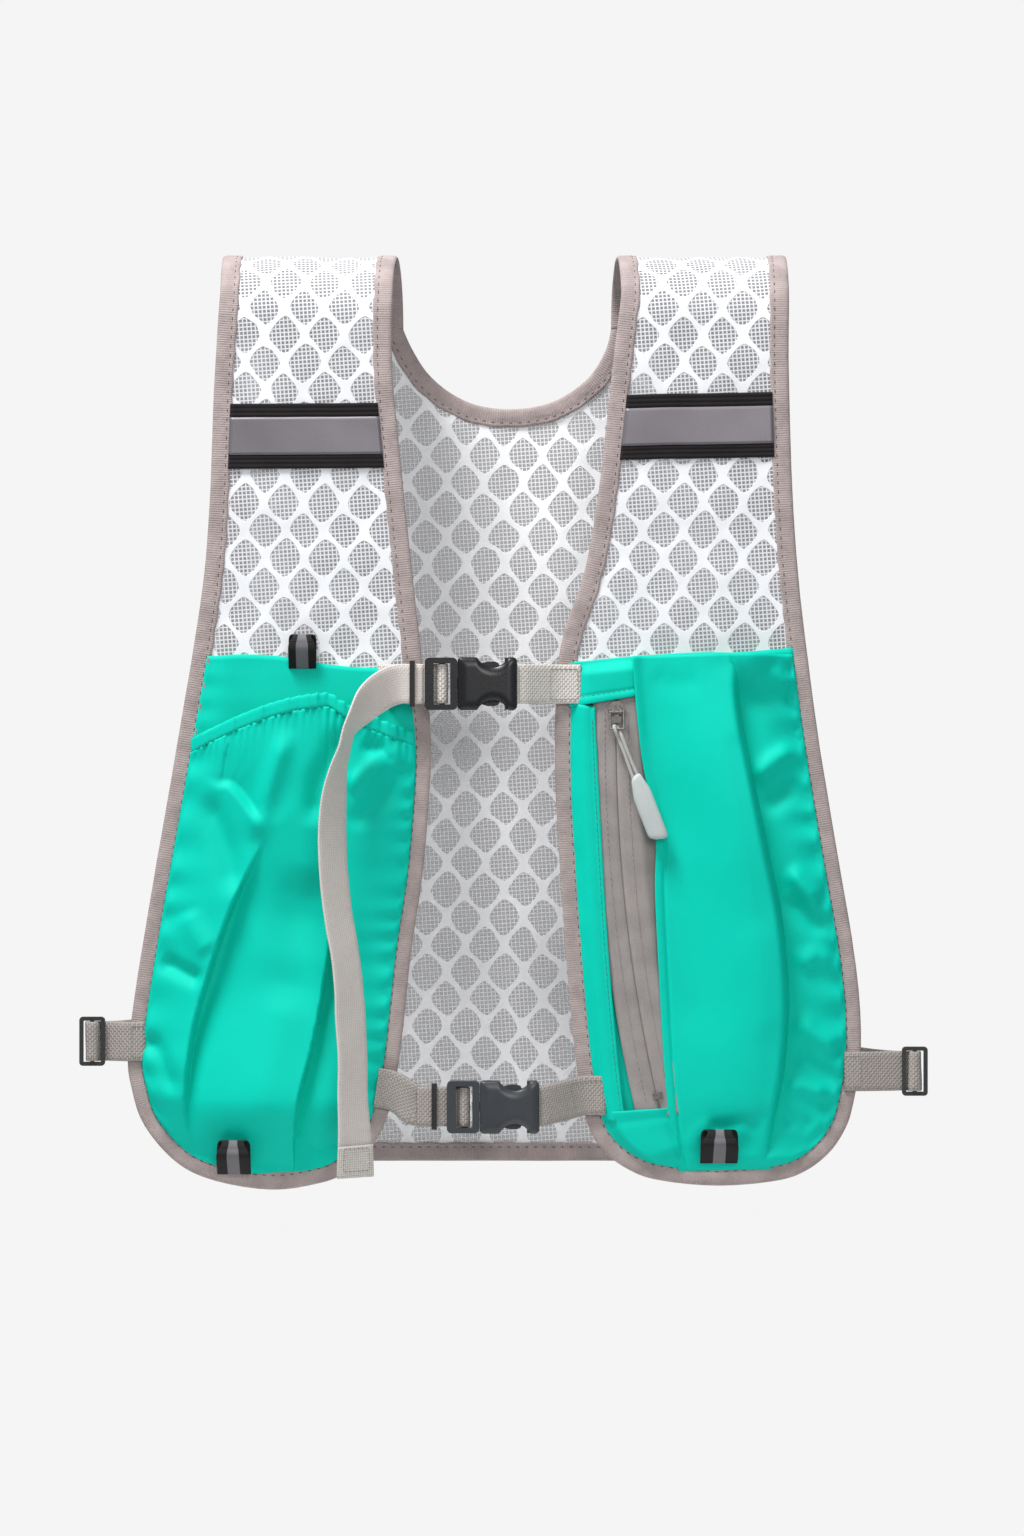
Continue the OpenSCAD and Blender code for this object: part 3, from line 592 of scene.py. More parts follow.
def ribbon_finish():
    """Black ribbon with a grey reflective stripe along its middle third; its u runs across it."""
    f = Finish("loop_ribbon", 0.75, specular=0.25)
    x, y = split(f.tree, f.vector)
    stripe = ramp(f.tree, calc(f.tree, "ABSOLUTE", x), 3.3, 2.9)
    cords = calc(f.tree, "SINE", calc(f.tree, "MULTIPLY", y, 2 * math.pi / 0.8))
    f.colour(blend_colour(f.tree, stripe, colour(30, 27, 28), colour(112, 111, 114)))
    f.bump(calc(f.tree, "MULTIPLY", cords, calc(f.tree, "SUBTRACT", 1.0, stripe)), 0.12, 0.6)
    return f.material


def plastic_finish(name, tone, grain_tone, roughness):
    f = Finish(name, roughness, specular=0.5, cloth=False)
    fine = speckle(f.tree, f.vector, 2.2, 3.0)
    dyed = f.use(MOTTLE, Colour=tone, Shade=grain_tone, Patch=0.05, Amount=0.6)
    f.colour(dyed["Colour"])
    worn = ramp(f.tree, fine, 0.3, 0.7, roughness - 0.06, roughness + 0.08)
    wire(f.tree, worn, f.shader.inputs["Roughness"])
    f.bump(fine, 0.04, 0.35)
    return f.material


def metal_finish():
    f = Finish("zip_painted_metal", 0.38, specular=0.5, cloth=False)
    worn = speckle(f.tree, f.vector, 0.9, 4.0)
    f.colour(blend_colour(f.tree, ramp(f.tree, worn, 0.45, 0.7), colour(132, 127, 124),
                          colour(98, 94, 92)))
    wire(f.tree, 0.65, f.shader.inputs["Metallic"])
    f.bump(worn, 0.03, 0.4)
    return f.material


def cord_finish():
    f = Finish("braided_cord", 0.75, sheen=0.2)
    x, y = split(f.tree, f.vector)
    x, y = calc(f.tree, "MULTIPLY", x, 12.0), calc(f.tree, "MULTIPLY", y, 5.0)
    strands = [calc(f.tree, "SINE", calc(f.tree, sign, x, y)) for sign in ("ADD", "SUBTRACT")]
    braid = calc(f.tree, "MAXIMUM", *strands)
    # The braid's grooves between strands are painted darker: painted shade.
    f.colour(blend_colour(f.tree, ramp(f.tree, braid, 0.6, -0.6, 0.0, 0.5), colour(196, 194, 192),
                          colour(140, 137, 135)))
    f.bump(braid, 0.15, 0.8)
    return f.material


def thread_finish(name, tone):
    f = Finish(name, 0.7, sheen=0.2, cloth=False)
    twist = speckle(f.tree, f.vector, 3.0, 1.0)
    f.colour(blend_colour(f.tree, ramp(f.tree, twist, 0.4, 0.6), tone, darker(tone, 0.8)))
    f.bump(twist, 0.05, 0.5)
    return f.material


# One knit in two copies that differ by painted light: the back's threads are whiter to make up for the front's
# shadow on it, and its hole rims carry darker painted shade.
MESH_FRONT = knit_finish("mesh_knit_front", colour(242, 243, 246), colour(160, 159, 162))
MESH_BACK = knit_finish("mesh_knit_back", colour(254, 254, 255), colour(146, 145, 148))
BINDING = binding_finish()
GREEN = stretch_finish("stretch_cloth", colour(0, 205, 181), colour(0, 195, 172))
WEBBING, WEBBING_FINE, WEBBING_DARK = (
    webbing_finish(name, colour(*light), colour(*dark), warp, weft, depth)
    for name, light, dark, warp, weft, depth in (
        ("webbing_plain", (226, 219, 212), (116, 109, 104), 1.25, 1.15, 0.35),
        ("webbing_ribbed", (222, 213, 207), (166, 158, 153), 1.3, 0.8, 0.16),
        ("webbing_shade", (174, 166, 160), (98, 91, 87), 1.25, 1.15, 0.35)))
ZIP_TWILL = twill_finish("zip_twill", colour(172, 164, 161), colour(130, 124, 121))
BLACK_RIBBED = twill_finish("black_ribbed", colour(36, 32, 33), colour(20, 18, 19))
FILM = reflector_finish()
RIBBON = ribbon_finish()
BUCKLE_BLACK = plastic_finish("buckle_black", colour(25, 25, 27), colour(18, 18, 20), 0.3)
BUCKLE_SLATE = plastic_finish("buckle_slate", colour(60, 63, 67), colour(48, 51, 55), 0.34)
SLIDER_PLASTIC = plastic_finish("slider_plastic", colour(46, 47, 46), colour(34, 35, 34), 0.4)
ELASTIC = plastic_finish("keeper_elastic", colour(34, 34, 36), colour(22, 22, 24), 0.7)
GRIP = plastic_finish("pull_grip", colour(196, 202, 201), colour(182, 189, 188), 0.55)
METAL = metal_finish()
CORD = cord_finish()
COIL = plastic_finish("zip_coil", colour(160, 152, 149), colour(140, 132, 129), 0.45)
THREAD_TAUPE = thread_finish("thread_taupe", colour(104, 88, 88))
# The green thread is darker than the cloth: painted shade of the groove the stitches sink into.
THREAD_GREEN = thread_finish("thread_green", colour(0, 150, 132))
THREAD_BEIGE = thread_finish("thread_beige", colour(152, 145, 139))


# ---- Camera, light and floor -------------------------------------------------------
LENS = 110.0
VIEW_H = 768.0
VIEW_CENTRE = (4.0, -40.0, -259.0)
SOFT_LIGHT = 0.32
FLOOR_Z, FLOOR_R, FLOOR_RIM = -770.0, 620.0, 6.0


def make_camera():
    data = bpy.data.cameras.new("camera")
    data.lens = LENS
    data.sensor_width = 36.0
    camera = bpy.data.objects.new("camera", data)
    away = VIEW_H * LENS / data.sensor_width
    camera.location = Vector((VIEW_CENTRE[0], VIEW_CENTRE[1] - away, VIEW_CENTRE[2])) * MM
    camera.rotation_euler = (math.pi / 2, 0, 0)
    bpy.context.scene.collection.objects.link(camera)
    bpy.context.scene.camera = camera


def area_light(name, place, aim, size, power):
    data = bpy.data.lights.new(name, "AREA")
    data.shape = "RECTANGLE"
    data.size, data.size_y = size
    data.energy = power
    light = bpy.data.objects.new(name, data)
    light.location = place
    light.rotation_euler = (Vector(aim) - Vector(place)).to_track_quat("-Z", "Y").to_euler()
    bpy.context.scene.collection.objects.link(light)


def make_world():
    world = bpy.data.worlds.new("studio")
    bpy.context.scene.world = world
    world.use_nodes = True
    tree = world.node_tree
    seen = tree.nodes["Background"]
    seen.inputs["Color"].default_value = colour(245, 245, 245)
    soft = tree.nodes.new("ShaderNodeBackground")
    soft.inputs["Color"].default_value = (0.93, 0.96, 1.0, 1)
    soft.inputs["Strength"].default_value = SOFT_LIGHT
    path = tree.nodes.new("ShaderNodeLightPath")
    choose = tree.nodes.new("ShaderNodeMixShader")
    tree.links.new(path.outputs["Is Camera Ray"], choose.inputs[0])
    tree.links.new(soft.outputs[0], choose.inputs[1])
    tree.links.new(seen.outputs[0], choose.inputs[2])
    tree.links.new(choose.outputs[0], tree.nodes["World Output"].inputs["Surface"])


def make_floor():
    """A pale round floor below the hanging vest, with its rim turned softly down."""
    rings, sides = 8, 96
    points = [(0, 0, FLOOR_Z)]
    for r in range(1, rings + 1):
        reach = FLOOR_R * r / rings
        height = FLOOR_Z - (FLOOR_RIM if r == rings else 0)
        points += [(reach * math.cos(w), reach * math.sin(w), height) for w in around(sides)]
    faces = [(0, 1 + k, 1 + (k + 1) % sides) for k in range(sides)]
    for r in range(rings - 1):
        for k in range(sides):
            a, b = 1 + r * sides, 1 + (r + 1) * sides
            faces.append((a + k, b + k, b + (k + 1) % sides, a + (k + 1) % sides))
    f = Finish("floor_paper", 0.9, cloth=False)
    fibres = speckle(f.tree, f.vector, 0.02, 3.0)
    f.colour(blend_colour(f.tree, fibres, colour(238, 238, 238), colour(232, 232, 232)))
    mesh = bpy.data.meshes.new("floor")
    mesh.from_pydata([tuple(c * MM for c in p) for p in points], [], faces)
    floor = bpy.data.objects.new("floor", mesh)
    mesh.materials.append(f.material)
    bpy.context.scene.collection.objects.link(floor)


make_camera()
make_world()
make_floor()
area_light("key", (-0.6, -0.62, 1.4), (0, 0, -0.28), (0.6, 0.5), 44)
area_light("fill", (0.4, -2.4, 0.6), (0, 0, -0.25), (1.0, 1.0), 18)
area_light("back", (0.2, 1.9, 0.8), (0, 0, -0.25), (1.6, 1.2), 16)
bpy.context.scene.view_settings.view_transform = "Standard"


# ---- The chest strap's free tail ---------------------------------------------------
TAIL_ROUTE = [
    (-40, -44, -217), (-46, -44, -217), (-52, -44, -217), (-58, -47, -219), (-64, -52, -223),
    (-69, -56, -228), (-73, -59, -234), (-77, -60, -241), (-79, -60, -249), (-82, -60, -259),
    (-84, -60, -271), (-85, -60, -285), (-85, -60, -300), (-84, -60, -316), (-82, -60, -333),
    (-79, -60, -350), (-77, -60, -367), (-76, -60, -385), (-75, -60, -404), (-75, -60, -423),
    (-74, -60, -442), (-74, -59, -462)]
TAIL_ACROSS = [
    (0, 0, 1), (0, 0, 1), (-.05, 0, 1), (-.2, -.15, .95), (-.35, -.35, .8),
    (-.4, -.6, .6), (-.35, -.85, .35), (-.25, -.95, .15), (-.25, -.95, .05),
    (-.4, -.9, 0), (-.55, -.8, 0), (-.62, -.75, 0), (-.65, -.72, 0), (-.66, -.72, 0),
    (-.68, -.72, .1), (-.68, -.72, .1), (-.68, -.7, 0), (-.7, -.7, 0),
    (-.7, -.7, 0), (-.72, -.68, 0), (-.78, -.6, 0), (-.85, -.5, 0)]


def ribbon(name, route, across, width, thickness, material, slot, step=1.6, wave=0.0, pinch=None, **kw):
    """Flat tape along a route; across gives the direction over its width at each point.

    pinch gives the share of the width that is lost at a share of the length.
    """
    line = spline(route, 4)
    sides = spline(across, 4)
    run = travelled(line)
    where = np.linspace(0, run[-1], max(3, int(run[-1] / step) + 1))
    line, sides = interpolated(where, run, line), interpolated(where, run, sides)
    ahead = tangents(line)
    sides = unit(sides - ahead * (sides * ahead).sum(1, keepdims=True))
    out = unit(np.cross(ahead, sides))
    half = width / 2
    section = [(w, 0.5) for w in np.linspace(-half + 0.5, half - 0.5, 9)]
    section = [(-half, 0.22)] + section + [(half, 0.22)]
    section += [(w, -t) for w, t in section[::-1]]
    rings, uv = [], []
    for k, (p, a, n) in enumerate(zip(line, sides, out)):
        lift = wave * ripple(where[k], 0, 16, 3.3)
        narrow = 1 - 0.012 * (1 + ripple(where[k], 5, 9, 1.1))
        if pinch:
            narrow -= pinch(where[k] / run[-1])
        rings.append([p + a * w * narrow + n * (t * thickness + lift * math.sin(w / 5)) for w, t in section])
        uv += [(w, where[k]) for w, _ in section]
    points, faces = tube(rings)
    return piece(name, points, faces, material, slot, uv=uv, **kw), line, sides, out


def sewn_box(name, line, sides, out, start, end, half_w, face, body="root"):
    """Box stitching through webbing, between two shares of its length, on the face given as 1 or -1."""
    a, b = int(start * (len(line) - 1)), int(end * (len(line) - 1))

    def on_face(k, w):
        return line[k] + sides[k] * w + out[k] * face * 0.7

    along = [[on_face(k, w) for k in range(a, b + 1)] for w in (-half_w, half_w)]
    across = [[on_face(k, w) for w in np.linspace(-half_w, half_w, 8)] for k in (a, b)]
    parts = []
    for run in along + across:
        run = even(run, 2.3)
        for p, q in zip(run[:-1], run[1:]):
            parts.append(stitch(mix(p, q, 0.1), mix(p, q, 0.82), out[a] * face, 0.24))
    points, faces = joined(parts)
    return piece(name, points, faces, THREAD_BEIGE, "webbing", body=body)


def make_tail():
    tail, line, sides, out = ribbon(
        "chest_tail", TAIL_ROUTE, TAIL_ACROSS, WEBBING_W, WEBBING_T, WEBBING_FINE, "webbing", wave=0.35,
        body="chest_male", stands_for=("chest_webbing_tail",))
    last = slice(-11, None)
    turned = [p + 0.95 * n for p, n in zip(line[last], -out[last])]
    fold, f_line, f_sides, f_out = ribbon(
        "chest_tail_hem", turned, list(sides[last]), WEBBING_W + 0.5, WEBBING_T, WEBBING, "webbing",
        body="chest_male")
    sewn_box("chest_tail_stitches", f_line, f_sides, f_out, 0.15, 0.85, 7.4, -1, body="chest_male")


make_tail()


# ---- Mesh panels -------------------------------------------------------------------
MESH_TUCK, MESH_T = 5.0, 0.7    # how far the mesh reaches into its bindings, and its thickness


def panel_rows(outline, low, high, step, tuck, wide_step=3.0):
    """Rows of flat points that fill an outline moved in by tuck, from low up to high."""
    inner = inset(outline, tuck)
    heights = np.arange(low, high + step / 2, step)
    ends = [crossings(inner, min(s, FOLD_END - 0.5)) for s in heights]
    kept = [(s, e) for s, e in zip(heights, ends) if e and e[1] - e[0] > 2]
    cols = int(max(e[1] - e[0] for _, e in kept) / wide_step) + 1
    return [[(x, s) for x in np.linspace(e[0], e[1], cols)] for s, e in kept]


def front_mesh(name, outline, node, seed, low):
    """A front panel and its run over the shoulder, with slight waves away from its edges."""
    rows = panel_rows(outline, low, FOLD_END, 3.0, MESH_TUCK)
    points = []
    for r in rows:
        waves = []
        for x, s in r:
            free = smooth(min(x - r[0][0], r[-1][0] - x) / 12)
            waves.append(free * (0.9 * ripple(x, s, 26, seed) + 0.35 * ripple(x, s, 9, seed)))
        points.append([front(x, s, wave) for (x, s), wave in zip(r, waves)])
    made = cloth_grid(name, points, MESH_FRONT, "mesh_fabric", rows, MESH_T, stands_for=(node,))


def back_mesh():
    """The back panel, as one sheet whose columns part round the neck scoop."""
    side_lines = np.concatenate([inset(back_outline, MESH_TUCK), [(138, 0), (-137.5, 0)]])
    scoop_line = np.concatenate([inset(neck_line, MESH_TUCK), [(-60, 0), (60, 0)]])
    heights = np.concatenate([np.arange(-455.5, -80, 3.0), np.arange(-78, -33.5, 1.5), [-33.0]])
    half, cols = 52, 104
    rows = []
    for s in heights:
        a, b = crossings(side_lines, s)
        left = right = 3.0
        scoop = crossings(scoop_line, s) if s > -79 else None
        if scoop:
            tuck = 4.0 * smooth((s + 48) / 12)
            left, right = scoop[0] - tuck, scoop[1] + tuck
        xs = np.concatenate([np.linspace(a, left, half), np.linspace(right, b, half)])
        rows.append([(x, s) for x in xs])
    points = [back(x, s, 0.9 * ripple(x, s, 34, 9.1) + 0.4 * ripple(x, s, 11, 2.2))
              for r in rows for x, s in r]

    def is_cloth(k, face):
        """Leaves out the faces that would bridge the scoop or have lost a side."""
        row, col = divmod(k, cols - 1)
        bridges = col == half - 1 and rows[row][half][0] - rows[row][half - 1][0] >= 0.5
        return not bridges and len({tuple(np.round(rows[v // cols][v % cols], 4)) for v in face}) == 4

    faces = [f for k, f in enumerate(grid_faces(len(rows), cols)) if is_cloth(k, f)]
    made = piece("back_mesh", points, faces, MESH_BACK, "mesh_fabric", [q for r in rows for q in r],
                 stands_for=("back_panel",))
    weld = made.modifiers.new("weld", "WELD")
    weld.merge_threshold = 0.05 * MM
    apply_modifiers(solidify(made, MESH_T))


front_mesh("bottle_front_mesh", bottle_outline, "bottle_front_panel", 1.7, -465.0)
front_mesh("zip_front_mesh", zip_outline, "zip_front_panel", 6.3, -463.0)
back_mesh()


# ---- Edge bindings -----------------------------------------------------------------
# Half of the tape's section: distance in from the edge, and height; it dips at the seam.
SEAM_IN = 7.2
BINDING_FACE = [(9.5, 0.75), (9.0, 1.25), (8.0, 1.32), (SEAM_IN, 1.12), (6.2, 1.42), (4.2, 1.5),
                (2.2, 1.48), (0.9, 1.3), (0.15, 0.7)]
BINDING_SECTION = BINDING_FACE + [(0, 0)] + [(w, -h) for w, h in BINDING_FACE[::-1]]


def binding(name, outline, place, node, seed):
    """Elastic tape folded over an edge, sewn near its inner rim, with its stitches on both faces."""
    line = even(outline, 1.6)
    t = tangents(line)
    inward = np.stack([-t[:, 1], t[:, 0]], 1)
    run = travelled(line)
    rings, uv = [], []
    for k, (p, n) in enumerate(zip(line, inward)):
        pull = 0.22 * math.sin(run[k] / 2.1) + 0.3 * ripple(run[k], 0, 14, seed)
        swell = 1 + 0.05 * ripple(run[k], 3, 8, seed)
        ring = []
        for w, h in BINDING_SECTION:
            reach = w + (pull * (w / BINDING_W) if w > 3 else 0.12 * ripple(run[k], 7, 22, seed))
            q = p + n * reach
            ring.append(place(q[0], q[1], h * swell))
            uv.append((run[k], w + 20 * (h < 0)))
        rings.append(ring)
    points, faces = tube(rings)
    piece(name, points, faces, BINDING, "edge_binding", uv=uv, stands_for=(node,))
    for label, face in (("front", 1), ("back", -1)):
        at = [p + n * SEAM_IN for p, n in zip(line, inward)]
        on = np.array([place(q[0], q[1], face * 1.2) for q in at])
        far = np.array([place(q[0], q[1], face * 2.2) for q in at])
        seam(f"{name}_stitches_{label}", on, unit(far - on), THREAD_TAUPE, "edge_binding",
             pitch=4.6, length=2.0, radius=0.26)


left_side = [p for p in back_outline if p[0] < 0 and p[1] >= HEM_TOP]
right_side = [p for p in back_outline if p[0] > 0 and p[1] >= HEM_TOP]
hem = [p for p in back_outline if p[1] <= HEM_TOP + 1]
NECK_OVERRUN = 3.0      # the neck tape's ends run on behind the front tapes
neck_run = np.vstack([neck_line[0] + NECK_OVERRUN * unit(neck_line[0] - neck_line[1]), neck_line,
                      neck_line[-1] + NECK_OVERRUN * unit(neck_line[-1] - neck_line[-2])])
binding("bottle_binding", bottle_outline, front, "bottle_edge_binding", 1.3)
binding("zip_binding", zip_outline, front, "zip_edge_binding", 4.1)
binding("bottle_back_side_tape", left_side, back, "bottle_back_side_binding", 2.2)
binding("zip_back_side_tape", right_side, back, "zip_back_side_binding", 5.7)
binding("hem_tape", hem, back, "hem_binding", 7.9)
binding("neck_tape", neck_run, back, "neck_binding", 3.4)


def shoulder_tapes():
    """The tapes that cover the join of each shoulder to the back; one CAD node holds both."""
    for name, x0, x1, nodes in (("bottle_shoulder_tape", -132.3, -66.2, ("shoulder_seam_tapes",)),
                                ("zip_shoulder_tape", 69.3, 132.7, ())):
        xs = np.linspace(x0, x1, 34)
        rows = [[(x, -33.5 - 6.5 * v + 0.15 * ripple(x, v, 7, 1.0)) for x in xs]
                for v in np.linspace(0, 1, 5)]
        points = [[back(x, z, 1.15 + 0.12 * ripple(x, z, 5, 2.0)) for x, z in r] for r in rows]
        cloth_grid(name, points, BINDING, "edge_binding", rows, 0.6, stands_for=nodes)
        for k, z in enumerate((-34.8, -38.7)):
            line = [back(x, z, 1.55) for x in xs]
            seam(f"{name}_stitches_{k}", line, [(0, 1, 0)] * len(line), THREAD_TAUPE,
                 "edge_binding", pitch=3.4)


shoulder_tapes()


# ---- Reflectors --------------------------------------------------------------------
FILM_HALF, RIB_PITCH = 9.5, 2.2


def reflector(side, outline, centre, tilt, nodes, seed):
    """A grey film between two ribbed black borders, sewn across the strap."""
    slope = math.tan(math.radians(tilt))
    low, high = (crossings(inset(outline, BINDING_W - 1.0), centre[1] + v) for v in (-17, 17))
    profile = []
    for v in np.linspace(-16.2, 16.2, 66):
        rib = 0.42 * abs(math.sin((abs(v) - 9.6) * math.pi / RIB_PITCH)) if abs(v) > FILM_HALF else 0.0
        profile.append((v, CLOTH_OUT + 0.15 + rib))

    def band(name, part, lift, material, slot, node):
        rows, uv = [], []
        for v, h in part:
            share = (v + 17) / 34
            xs = np.linspace(mix(low[0], high[0], share), mix(low[1], high[1], share), 40)
            row = []
            for x in xs:
                sag = 0.25 * ripple(x, 0, 24, seed)
                row.append(front(x, centre[1] + v + (x - centre[0]) * slope + sag,
                                 h + lift + 0.25 * ripple(x, v, 18, seed)))
            rows.append(row)
            uv.append([(x, v) for x in xs])
        cloth_grid(name, rows, material, slot, uv, 0.5, stands_for=(node,))

    band(f"{side}_reflector_border", profile, 0.0, BLACK_RIBBED, "reflector_backing", nodes[0])
    film = [(v, CLOTH_OUT + 0.45) for v in np.linspace(-9.4, 9.4, 14)]
    band(f"{side}_reflector_film", film, 0.25, FILM, "reflector", nodes[1])


reflector("bottle", bottle_outline, (-101, -92.5), 0.4,
          ("bottle_reflector_backing", "bottle_reflector"), 1.0)
reflector("zip", zip_outline, (97.5, -87.5), 1.0, ("zip_reflector_backing", "zip_reflector"), 2.0)


# ---- Folds in cloth ----------------------------------------------------------------
def beside(line, x, z):
    """Signed distance of each point to a line, positive on its right, and the share along it."""
    line = np.array(line, float)
    best = np.full(x.shape, 1e9)
    side, share = np.zeros(x.shape), np.zeros(x.shape)
    total = travelled(line)
    for k in range(len(line) - 1):
        d = line[k + 1] - line[k]
        t = np.clip(((x - line[k][0]) * d[0] + (z - line[k][1]) * d[1]) / (d @ d), 0, 1)
        away = np.hypot(x - line[k][0] - t * d[0], z - line[k][1] - t * d[1])
        sign = np.sign((z - line[k][1]) * d[0] - (x - line[k][0]) * d[1])
        near = away < best
        best = np.where(near, away, best)
        side = np.where(near, -sign, side)
        share = np.where(near, (total[k] + t * (total[k + 1] - total[k])) / total[-1], share)
    return best * side, share


def ease(t):
    t = np.clip(t, 0, 1)
    return t * t * (3 - 2 * t)


def crest(line, x, z, height, width, fade=0.25):
    """A soft ridge, or a valley if height is negative, that fades at both ends of its line."""
    d, t = beside(spline(line), x, z)
    return height * np.exp(-(d / width) ** 2) * ease(t / fade) * ease((1 - t) / fade)


def step_fold(line, x, z, rise, drop, right_reach, left_reach, crisp, fade_in=0.2, fade_out=0.0):
    """A fold whose right side stands high and whose left side falls into a hollow."""
    d, t = beside(spline(line), x, z)
    over = ease((d + crisp) / (2 * crisp))
    shape = rise * np.exp(-np.clip(d, 0, None) / right_reach) * over
    shape = shape - drop * np.exp(-np.clip(-d, 0, None) / left_reach) * (1 - over)
    strength = ease(t / fade_in) if fade_in else 1.0
    if fade_out:
        strength = strength * ease((1 - t) / fade_out)
    return shape * strength


def noise_grid(x, z, size, seed):
    return np.array([[ripple(a, b, size, seed) for a, b in zip(r, q)] for r, q in zip(x, z)])


def part_of(outline, tuck, start, end):
    """The stretch of an inset outline between the points nearest to start and end."""
    line = inset(outline, tuck)
    a, b = (int(np.argmin(np.hypot(*(line - np.array(p)).T))) for p in (start, end))
    cut = line[min(a, b): max(a, b) + 1]
    return cut if a < b else cut[::-1]


def between(left, right, rows, cols):
    """A grid of flat points between two side lines, from their first points down to their last."""
    def even_count(line):
        run = travelled(line)
        return interpolated(np.linspace(0, run[-1], rows), run, line)

    a, b = even_count(np.array(left, float)), even_count(np.array(right, float))
    u = np.linspace(0, 1, cols)
    return (a[:, None, 0] * (1 - u) + b[:, None, 0] * u), (a[:, None, 1] * (1 - u) + b[:, None, 1] * u)


def shares(x):
    """The share across and the share down of each point of a grid."""
    rows, cols = x.shape
    return (np.broadcast_to(np.linspace(0, 1, cols), x.shape),
            np.broadcast_to(np.linspace(0, 1, rows)[:, None], x.shape))


def with_crests(out, crests, x, z, scale=1.0, fade=0.25):
    """The surface with each crest of a list added; a crest is a line, a height and a width."""
    for line, height, width in crests:
        out = out + scale * crest(line, x, z, height, width, fade)
    return out


def pocket_seam(name, line, thread=None, slot="pocket_cloth", pitch=3.0, length=2.6):
    """Fine stitches on cloth that faces forwards."""
    seam(name, line, [(0, -1, 0)] * len(line), thread or THREAD_GREEN, slot, pitch, length, radius=0.2)


def cloth_piece(name, x, z, out, thickness, nodes, material=None, slot="pocket_cloth"):
    """A sewn cloth panel from grids of x, z and distance outside the shell."""
    rows = [[(a, -FOLD_R - o, b) for a, o, b in zip(r, q, s)] for r, q, s in zip(x, out, z)]
    uv = [list(zip(r, s)) for r, s in zip(x, z)]
    made = cloth_grid(name, rows, material or GREEN, slot, uv, thickness, stands_for=nodes)


# ---- Bottle pocket -----------------------------------------------------------------
MOUTH_Z = -253.0
MOUTH_RISE, MOUTH_PEAK = 21.0, 0.62     # the mouth's arch, highest at this share across
BOTTLE_BULGE = 16.0
POCKET_OUT = 1.5


def mouth_lift(u):
    low = np.sin(np.pi / 2 * np.clip(u / MOUTH_PEAK, 0, 1))
    high = np.cos(np.pi / 2 * np.clip((u - MOUTH_PEAK) / (1 - MOUTH_PEAK), 0, 1) ** 0.45)
    return MOUTH_RISE * np.where(u < MOUTH_PEAK, low, high)


def bottle_depth(u, v):
    down = 0.32 + 0.36 * np.exp(-((v - 0.04) / 0.33) ** 2) + 0.54 * np.exp(-((v - 0.86) / 0.2) ** 2)
    return BOTTLE_BULGE * np.sin(np.pi * np.clip(u, 0, 1)) ** 0.7 * down * ease((1 - v) / 0.17) ** 0.7


def pocket_base(name, outline, top, low, node, seed):
    """The pocket's back cloth, sewn to the mesh, with its folded top edge."""
    inner = inset(outline, BINDING_W - 1.6)
    top_line = spline(top)
    heights = np.arange(low, -205, 2.5)
    ends = [crossings(inner, s) for s in heights]
    kept = [(s, e) for s, e in zip(heights, ends) if e and e[1] - e[0] > 3]
    kept = kept[::-1]
    cols = 56
    x = np.array([np.linspace(e[0], e[1], cols) for _, e in kept])
    z = np.array([[s] * cols for s, _ in kept])
    top_z = np.interp(x[0], top_line[:, 0], top_line[:, 1])
    share = np.linspace(1, 0, len(kept)) ** 3
    z = z + share[:, None] * (top_z - z[0])[None, :]
    u = (x - x[:, :1]) / (x[:, -1:] - x[:, :1])
    room = ease(np.minimum(u, 1 - u) / 0.12)
    shown = ease((z + 262) / 20)
    pull = 0.55 * np.sin(z / 1.9 + 2 * u) * np.exp(-u * 16) + 0.5 * np.sin(z / 2.3) * np.exp(-(1 - u) * 16)
    pull = pull * ease(np.minimum(u, 1 - u) / 0.02)
    out = 1.1 + shown * (room * (1.0 + 0.9 * noise_grid(x, z, 24, seed)) + pull)
    cloth_piece(name, x, z, out, 0.6, (node,))


BOTTLE_BASE_TOP = [(-190, -203), (-150, -203), (-132, -202), (-112, -203), (-92, -206.5),
                   (-73, -208.5), (-44, -209), (-20, -209)]
MAIN_FOLD = [(-152, -262), (-143, -267), (-136, -268), (-126, -280), (-118.5, -291.5), (-122, -300),
             (-130, -316), (-137.5, -333), (-147, -361), (-155.5, -392), (-159, -424), (-157, -452)]
MAIN_TURN = 4       # the point where the main fold turns back outwards
SLIT = [(-85.5, -334), (-87, -342), (-88.8, -359.5), (-95, -395), (-102, -423), (-104.8, -442.6),
        (-105, -462)]
BOTTLE_CRESTS = (
    ([(-106, -238), (-113, -255), (-119, -275), (-125, -298)], 3.6, 5),
    ([(-82, -236), (-86, -252), (-93, -268), (-96, -290)], -4.2, 5.5),
    ([(-150, -270), (-142, -290), (-137, -305), (-134, -325)], -3.4, 6),
    ([(-173, -354), (-162, -360), (-149, -366)], -4.2, 4.5),
    ([(-160, -330), (-152, -345), (-146, -352)], 2.4, 6),
    ([(-182, -392), (-172, -402), (-164, -424)], -2.8, 4.5),
    ([(-72, -246), (-62, -250), (-54, -258)], -3.2, 4),
    ([(-78, -272), (-66, -261), (-50, -247)], 4.6, 5),
    ([(-78, -290), (-64, -276), (-52, -262)], -2.4, 5),
    ([(-96, -306), (-100, -330), (-104, -356), (-112, -384)], -3.6, 13),
    ([(-100, -330), (-108, -370), (-118, -410), (-124, -446)], 2.0, 12))


